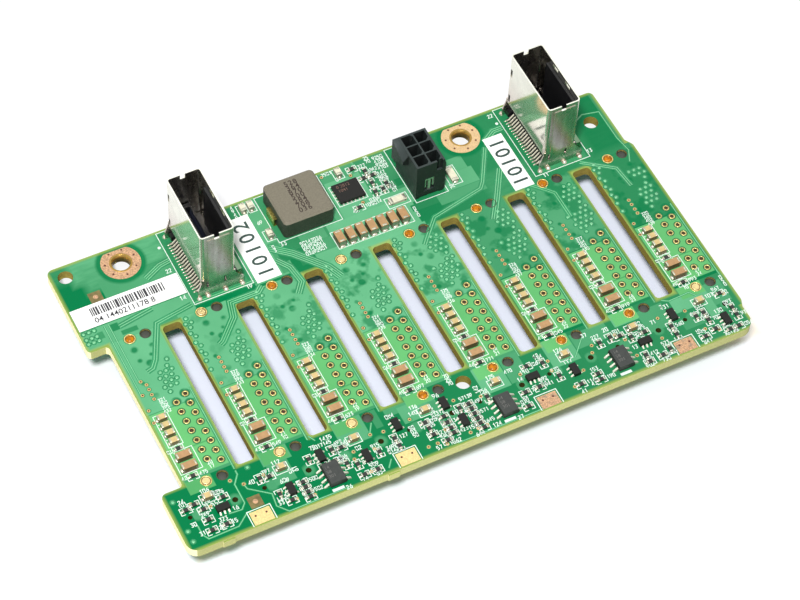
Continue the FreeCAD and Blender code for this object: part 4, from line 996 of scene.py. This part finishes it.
# ---- drive connectors -------------------------------------------------------------------------
class BACKPLANE_OT_drive_connectors(bpy.types.Operator):
    """Finishes of the drive connectors, their pins' gold rings, pegs and locks on the upper face"""

    bl_idname = "backplane.drive_connectors"
    bl_label = "Drive connectors"

    def execute(self, context):
        tone = context.scene.backplane_colours
        size = context.scene.backplane_sizes
        resin = mottled("black_moulding", tone.resin, 0.45, grain=1.0, depth=0.006)
        spring = mottled("contact_gold", shade(214, 172, 98), 0.3, 1.0, grain=0.6)
        gold = mottled("pin_ring_gold", shade(232, 196, 122), 0.3, 0.5, grain=0.35, spread=0.5,
                       depth=0.006)
        # Dark brown discs in the pin holes and at the foot of the lock domes: painted shade in the
        # holes.
        hole_shade = mottled("pin_hole_shade", shade(70, 38, 10), 0.4, 0.4, grain=0.3, spread=0.3, depth=0.004)
        amber = mottled("amber_flux", tone.flux, 0.3, grain=0.5, spread=0.5)
        amber.coat({"Specular IOR Level": 0.25})
        pale = mottled("pale_solder", shade(222, 200, 140), 0.3, 0.6, grain=0.6, depth=0.01)
        peg = mottled("peg_moulding", shade(54, 56, 48), 0.6, grain=0.6, depth=0.006)
        shadow = mottled("hole_rim", shade(54, 66, 44), 0.6)
        gap = mottled("mask_round_pins", shade(12, 100, 52), 0.25)
        for bay in range(1, BAYS + 1):
            dress("drive_connector_%d" % bay, resin)
            dress("drive_contacts_%d" % bay, spring)
        dress("board_locks_soldered", pale)
        dress("board_locks_bare", pale)

        outer = size.ring_radius / MM
        inner = outer * 0.62
        ring = turned(((inner, 0.0), (inner + 0.02, 0.07), (outer - 0.1, 0.06), (outer, 0.0),
                       (inner, 0.0)), size.round_steps)
        plug = turned(((0, 0.03), (inner * 0.5, 0.025), (inner, 0.0), (0, 0)), 12)
        column = 2 * PIN_PITCH
        pins = in_bays([(0.0, -column * row) for row in range(7)]
                       + [(column, PIN_PITCH - column * row) for row in range(8)])
        repeat("pin_rings", ring, pins, gold, True, 0.012)
        repeat("pin_clearances", disc(0.94, 0.008, 12), pins, gap, False, 0.012)
        repeat("pin_hole_shades", plug, pins, hole_shade, True, 0.012)

        locks = in_bays(LOCKS)
        pegs = in_bays(PEGS)
        filled = [place for lock, bays in zip(LOCKS, SOLDERED_BAYS)
                  for place in in_bays([lock], bays)]
        bare = [lock for lock in locks if lock not in filled]
        rim = turned(((0.98, 0.0), (1.0, 0.07), (1.2, 0.06), (1.27, 0.0), (0.98, 0.0)), 24)
        dome = turned(((0, 0.4), (0.38, 0.36), (0.7, 0.24), (0.88, 0.1), (0.93, 0.0), (0, 0)), 20)
        saucer = turned(((0, 0.1), (0.3, 0.07), (0.55, 0.05), (0.8, 0.13), (0.93, 0.0), (0, 0)), 20)
        mouth = turned(((1.06, 0.0), (1.08, 0.03), (1.24, 0.03), (1.28, 0.0), (1.06, 0.0)), 24)
        cap = turned(((0, -0.2), (0.8, -0.2), (1.0, -0.3), (1.06, -0.36), (0, -0.36)), 20)
        repeat("lock_rims", rim, locks, gold, True)
        repeat("lock_seats", disc(1.0, 0.02, 20), locks, hole_shade)
        repeat("amber_domes", dome, filled, amber, True)
        repeat("pale_domes", saucer, bare, pale, True)
        repeat("peg_hole_rims", mouth, pegs, shadow, True)
        repeat("peg_tops", cap, pegs, peg, True)
        return {"FINISHED"}


# ---- cable sockets ----------------------------------------------------------------------------
class BACKPLANE_OT_cable_sockets(bpy.types.Operator):
    """Bright shells, black mouldings, contacts and solder"""

    bl_idname = "backplane.cable_sockets"
    bl_label = "Cable sockets"

    def execute(self, context):
        tone = context.scene.backplane_colours
        shell = Finish("bright_shell", tone.shell, 0.15, 1.0)
        x, y, _ = shell.facing()
        left, _, height = shell.along()
        drawn = shell.noise(0.35, 3.0, (1.0, 1.0, 0.05))
        cloud = shell.noise(2.5).ramp(0.35, 0.65)
        reflection_streaks = shell.noise(0.9, 3.0, (1.0, 1.0, 0.08)).ramp(0.3, 0.7, 0.55, 1.0)
        long_face = abs(y).ramp(0.3, 0.8)
        steel = shell.blend(cloud, tone.shell, toned(tone.shell, 0.9))
        # The long faces take the darker front colour in vertical streaks: painted shade broken by
        # painted streaks of reflection.
        steel = shell.blend(long_face * reflection_streaks * 0.8, steel, tone.shell_front)
        # Side faces darken towards the board: painted shade.
        steel = shell.blend(height.ramp(4.0, 15.0, 0.8, 0.0) * (1 - long_face), steel,
                            tone.shell_low)
        # Left-facing faces on the tail side take less metal so their pale base shows: a painted
        # highlight on the lit side.
        lit_left_face = (x < -0.5) * (left % SOCKET_SHIFTS[1] < 20.0)
        shell.coat({"Base Color": steel, "Metallic": lit_left_face.ramp(0, 1, 1.0, 0.76),
                    "Roughness": abs(y).ramp(0.3, 0.8, 0.09, 0.24) + cloud * 0.05})
        shell.bump(drawn, 0.004)

        resin = mottled("socket_moulding", shade(16, 16, 18), 0.4, grain=1.0, depth=0.006)
        # The moulding's right end is painted as greenish metal so it reads as the shell's flange:
        # the green is a painted reflection of the board.
        flange_green_reflection = resin.along()[0] % SOCKET_SHIFTS[1] > 24.15
        moulded = resin.blend(resin.noise(1.0).ramp(0.3, 0.7), shade(10, 10, 12),
                              shade(22, 22, 25))
        resin.coat({"Base Color": resin.blend(flange_green_reflection, moulded, shade(112, 140, 112)),
                    "Metallic": flange_green_reflection, "Roughness": flange_green_reflection.ramp(0, 1, 0.4, 0.2)})
        tin = mottled("tinned_contacts", shade(236, 230, 206), 0.4, 0.5, grain=0.5)
        cream = tin.blend(tin.noise(0.5).ramp(0.3, 0.7), shade(206, 200, 176), shade(240, 236, 214))
        # Contacts above 3 mm, inside the shell, turn dark bluish grey: painted shade inside the
        # socket.
        tin.coat({"Base Color": tin.blend(tin.along()[2].ramp(2.8, 3.4), cream,
                                          shade(60, 64, 84))})
        solder = mottled("bright_solder", tone.solder, 0.25, 0.8, grain=0.4, depth=0.01)
        for index in (1, 2):
            dress("cable_socket_shell_%d" % index, shell)
            dress("cable_socket_moulding_%d" % index, resin)
            dress("cable_socket_contacts_%d" % index, tin)

        legs, feet = [[(x + shift, y) for shift in SOCKET_SHIFTS for x, y in points]
                      for points in (SOCKET_LEGS, SOCKET_TAILS)]
        # A dark plate under the tails, between the moulding and the toes: painted shade from the
        # socket over them.
        tail_shade_plates = [plate(frame_path(15.3 + shift, 17.4 + shift, 23.5, 38.2), 0.0, 0.05)
                for shift in SOCKET_SHIFTS]
        dark = mottled("tail_shadow_paint", shade(14, 44, 26), 0.5, grain=0.6)
        make_piece("tail_shadow_plates", tail_shade_plates, dark)
        blob = turned(((0, 0.5), (0.3, 0.45), (0.46, 0.26), (0.6, 0.05), (0.62, 0.0), (0, 0)), 14)
        repeat("leg_solder", blob, legs, solder, True)
        toe = turned(((0, 0.22), (0.5, 0.2), (0.85, 0.1), (1.0, 0.0), (0, 0)), 8, (0.5, 0.2))
        repeat("tail_solder", toe, feet, solder, True)
        return {"FINISHED"}


# ---- power header, inductor, chips ------------------------------------------------------------
class BACKPLANE_OT_power_parts(bpy.types.Operator):
    """Power header, inductor with its marking, and their metal"""

    bl_idname = "backplane.power_parts"
    bl_label = "Header and inductor"

    def execute(self, context):
        tone = context.scene.backplane_colours
        header = mottled("header_moulding", tone.header, 0.55, grain=1.2, depth=0.008, side=0.6)
        plain = Wire(header, header.skin.inputs["Base Color"].links[0].from_socket)
        # Front faces are darkened towards black, and side dims the other upright faces: painted
        # shade.
        front = header.facing()[1].ramp(-0.8, -0.4, 0.65, 0.0)
        header.coat({"Base Color": header.blend(front, plain, BLACK)})
        dress("power_header_moulding", header)
        tin = mottled("tin_plate", shade(200, 198, 186), 0.32, 0.9, grain=0.6, depth=0.004)
        dress("power_header_pins", tin)
        dress("power_header_clips", tin)
        powder = mottled("pressed_powder", tone.inductor, 0.62, grain=0.35, spread=0.22, depth=0.02)
        grain = powder.noise(0.3, 4.0).ramp(0.3, 0.7)
        top = powder.blend(grain, toned(tone.inductor, 0.8), tone.inductor)
        # Upright faces take a dark greenish brown: painted shade, with the green a painted
        # reflection of the board.
        wall = powder.blend(grain, shade(30, 40, 28), shade(48, 56, 42))
        powder.coat({"Base Color": powder.blend(powder.facing()[2] > 0.4, wall, top)})
        dress("inductor_body", powder)
        brass = mottled("inductor_strap", shade(186, 172, 92), 0.25, 0.9, grain=0.8, depth=0.01)
        dress("inductor_terminals", brass)
        mark = mottled("inductor_print", shade(50, 38, 30), 0.6, grain=0.2, spread=0.3)
        lettering("inductor_digits", "528\n364\n870\n500\n284\n708\n036", 1.78, mark,
                  (42.6, 38.1, 4.905), heavier=0.03, line=0.72, letter=1.2)
        return {"FINISHED"}


# The chip parts: node, how many solids, tone, share of a half length that its metal end takes.
CHIP_PARTS = (
    ("bay_small_capacitors", 32, "tan", 0.2), ("bay_large_capacitors", 16, "brown", 0.14),
    ("bay_front_capacitors", BAYS, "tan", 0.22), ("input_capacitors", 7, "brown", 0.2),
    ("pale_capacitors", 4, "pale", 0.3), ("fuses", 2, "pale", 0.2),
    ("chip_resistors", RESISTORS, "glaze", 0.2),
)
BUFFER_DIGITS_X = (20.0, 59.7, 87.0)


class BACKPLANE_OT_chips(bpy.types.Operator):
    """Chips, capacitors, resistors and fuses, with their metal ends and solder"""

    bl_idname = "backplane.chips"
    bl_label = "Chips and chip parts"

    def execute(self, context):
        tone = context.scene.backplane_colours
        # side below 1 darkens the upright faces of the mouldings and leads: painted shade.
        resin = mottled("chip_moulding", shade(46, 50, 47), 0.5, grain=0.8, spread=0.16,
                        depth=0.008, side=0.4)
        dark = mottled("dark_moulding", shade(16, 16, 13), 0.55, grain=0.8, depth=0.008, side=0.6)
        dark.coat({"Specular IOR Level": 0.3})
        lead = mottled("lead_solder", shade(236, 234, 216), 0.35, 0.5, grain=0.4, spread=0.15,
                       side=0.7)
        tin = mottled("lead_tin", shade(196, 196, 176), 0.34, 0.7, grain=0.4, spread=0.3, side=0.55)
        solder = mottled("joint_solder", tone.solder, 0.3, 0.7, grain=0.3, spread=0.3, depth=0.01)
        mark = mottled("faint_print", shade(96, 96, 92), 0.6, grain=0.3, spread=0.3)
        rust = mottled("rust_print", shade(112, 84, 72), 0.6, grain=0.3, spread=0.3)
        for finish, nodes in ((resin, ("buffer_chip_1", "buffer_chip_2", "buffer_chip_3")),
                              (dark, ("regulator_chip", "small_chips")),
                              (lead, ("buffer_chip_leads", "small_chip_leads", "regulator_pads"))):
            for node in nodes:
                dress(node, finish)
        top = (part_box("regulator_chip")[1].z - ORIGIN[2]) / MM + 0.01
        buffer_top = (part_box("buffer_chip_1")[1].z - ORIGIN[2]) / MM + 0.01
        lettering("regulator_digits", "0 2812\n1041", 1.15, rust, (53.9, 35.6, top),
                  0.01)
        for index, x in enumerate(BUFFER_DIGITS_X):
            lettering("buffer_digits_%d" % index, "14\n58\n301", 1.1, mark,
                      (x, -28.8, buffer_top), 0.01)

        # side darkens the upright faces of the ceramics: painted shade.
        ceramic = {
            "tan": mottled("tan_ceramic", tone.tan, 0.5, grain=0.8, spread=0.1, depth=0.004,
                           side=0.32),
            "brown": mottled("brown_ceramic", tone.brown, 0.5, grain=0.8, spread=0.1, depth=0.004,
                             side=0.26),
            "pale": mottled("pale_ceramic", shade(226, 222, 196), 0.5, grain=0.8, spread=0.08,
                            depth=0.004, side=0.6),
            "glaze": mottled("resistor_glaze", shade(26, 28, 24), 0.35, grain=0.5, spread=0.2,
                             depth=0.004),
        }
        ends = []
        fillets = []
        for node, count, kind, share in CHIP_PARTS:
            dress(node, ceramic[kind])
            for centre, half in zip(*solid_boxes(node, count)):
                axis = 0 if half[0] >= half[1] else 1
                grip = half + 0.02
                grip[axis] = half[axis] * share + 0.02
                spread = half[:2] * 0.85
                spread[axis] = 0.42
                rise = min(0.45, half[2] * 1.1)
                points, faces = pillow(grip, 0.22)
                mound, mound_faces = turned(((0, rise), (0.5, rise * 0.8), (0.85, rise * 0.35),
                                             (1.0, 0.0), (0, 0)), 10, spread)
                for side in (-1, 1):
                    end = centre.copy()
                    end[axis] += side * (half[axis] * (1 - share))
                    ends.append((points + end, faces))
                    foot = centre * (1, 1, 0)
                    foot[axis] += side * half[axis]
                    fillets.append((mound + foot, mound_faces))
        make_piece("part_ends", ends, tin, True)
        make_piece("joint_fillets", fillets, solder, True)
        return {"FINISHED"}


# ---- stage ------------------------------------------------------------------------------------
FLOOR = (0.9, 0.9, 0.92)
# Light through the round holes, as it falls on the floor: x, y, radius of the hole.
BEAMS = ((3.85, 37.75, 2.3), (85.4, 37.75, 2.3), (-8.3, 39.0, 1.9), (113.8, 29.5, 1.9),
         (55.6, -20.7, 1.8))


def lamp(name, direction, distance, size, power):
    """A square lamp that looks at the board's middle from a direction."""
    data = bpy.data.lights.new(name, "AREA")
    data.shape = "SQUARE"
    data.size = size
    data.energy = power
    holder = bpy.data.objects.new(name, data)
    bpy.context.scene.collection.objects.link(holder)
    away = Vector(direction).normalized()
    holder.location = away * distance
    holder.rotation_euler = away.to_track_quat("Z", "Y").to_euler()


def floor_paint():
    """White, with painted shade tints: bluish in the board's hollow and warm in the shadow under
    its
    front edge. Part of it glows where a ray from the eye, a reflection or clear matter meets it:
    evenly beyond the board, as painted pools of light below the round holes, and faintly in the
    shadow under the front edge."""
    paint = Finish("white_floor", FLOOR, 0.9)
    x, y, _ = paint.along()
    # A bluish tint under the board and a warm one in the shadow under its front edge: painted shade
    # tints.
    hollow = paint.within(x, y, (2.0, 115.0, -20.0, 33.0), 6.0)
    covered = paint.within(x, y, (-12.0, 119.0, -35.5, 46.0), 1.5)
    front = paint.within(x, y, (-9.0, 124.0, -30.7, -20.0), 0.7)
    base = paint.blend(hollow, paint.blend(front, FLOOR, (1.0, 0.86, 0.66)), (0.8, 0.83, 0.95))
    paint.coat({"Base Color": base})
    # Glowing patches where light through each round hole falls: painted pools of light.
    beam = 0.0
    for hole_x, hole_y, radius in BEAMS:
        below = (hole_x + 3.6, hole_y + 6.3)
        beam = paint.round_patch(x, y, below, radius, radius + 0.8).most(beam)
    # The shadow strip under the front edge glows a little, warm: painted light lifting the shadow.
    glow = paint.node("ShaderNodeEmission", {},
                      {"Color": paint.blend(front * covered, WHITE, (1.0, 0.88, 0.55))})
    share = ((1 - covered) * 0.45).most(beam * 0.9).most(front * 0.11)
    share = paint.seen_by("Camera", "Glossy", "Transmission") * share
    lift = paint.node("ShaderNodeMixShader", {},
                      {0: share, 1: Wire(paint, paint.skin.outputs[0]), 2: glow})
    paint.set(paint.output, {"Surface": lift})
    return paint.material


class BACKPLANE_OT_stage(bpy.types.Operator):
    """Pale floor, soft lamps, even sky and the camera"""

    bl_idname = "backplane.stage"
    bl_label = "Stage"

    def execute(self, context):
        stage = context.scene.backplane_stage
        mesh = bpy.data.meshes.new("floor")
        mesh.from_pydata([(-3, -3, 0), (3, -3, 0), (3, 3, 0), (-3, 3, 0)], [], [(0, 1, 2, 3)])
        mesh.materials.append(floor_paint())
        floor = bpy.data.objects.new("floor", mesh)
        context.scene.collection.objects.link(floor)

        world = bpy.data.worlds.new("sky")
        world.use_nodes = True
        sky = Nodes(world.node_tree)
        even, shown = [sky.node("ShaderNodeBackground", {}, {"Color": WHITE, "Strength": power})
                       for power in (stage.sky, 1.0)]
        mix = sky.node("ShaderNodeMixShader", {},
                       {0: sky.seen_by("Camera", "Glossy"), 1: even, 2: shown})
        sky.node("ShaderNodeOutputWorld", {}, {"Surface": mix})
        context.scene.world = world

        lamp("key_lamp", (-0.34, -0.42, 1.0), 0.9, 0.12, stage.key)
        lamp("fill_lamp", (0.1, 0.3, 1.0), 0.9, 0.8, stage.fill)

        data = bpy.data.cameras.new("camera")
        data.lens = stage.lens
        data.sensor_width = 36
        data.clip_end = 10
        camera = bpy.data.objects.new("camera", data)
        context.scene.collection.objects.link(camera)
        camera.location = (-0.171695, -0.302704, 0.487861)
        camera.rotation_euler = Euler([math.radians(a) for a in (36.0235, -2.1040, -26.6436)],
                                      "XYZ")
        context.scene.camera = camera
        context.scene.view_settings.view_transform = "Standard"
        return {"FINISHED"}


class BACKPLANE_PT_panel(bpy.types.Panel):
    bl_idname = "BACKPLANE_PT_panel"
    bl_label = "Backplane board"
    bl_space_type = "VIEW_3D"
    bl_region_type = "UI"
    bl_category = "Backplane"

    def draw(self, context):
        for operator in OPERATORS:
            self.layout.operator(operator.bl_idname)
        for group in (context.scene.backplane_colours, context.scene.backplane_sizes,
                      context.scene.backplane_stage):
            for name in group.__annotations__:
                self.layout.prop(group, name)


OPERATORS = (
    BACKPLANE_OT_board, BACKPLANE_OT_copper, BACKPLANE_OT_legend, BACKPLANE_OT_labels,
    BACKPLANE_OT_drive_connectors, BACKPLANE_OT_cable_sockets, BACKPLANE_OT_power_parts,
    BACKPLANE_OT_chips, BACKPLANE_OT_stage,
)
CLASSES = (BackplaneColours, BackplaneSizes, BackplaneStage, *OPERATORS, BACKPLANE_PT_panel)


def register():
    for cls in CLASSES:
        bpy.utils.register_class(cls)
    bpy.types.Scene.backplane_colours = PointerProperty(type=BackplaneColours)
    bpy.types.Scene.backplane_sizes = PointerProperty(type=BackplaneSizes)
    bpy.types.Scene.backplane_stage = PointerProperty(type=BackplaneStage)


def unregister():
    del bpy.types.Scene.backplane_colours
    del bpy.types.Scene.backplane_sizes
    del bpy.types.Scene.backplane_stage
    for cls in reversed(CLASSES):
        bpy.utils.unregister_class(cls)


def main():
    register()
    for operator in OPERATORS:
        group, name = operator.bl_idname.split(".")
        getattr(getattr(bpy.ops, group), name)()


if __name__ == "__main__":
    main()
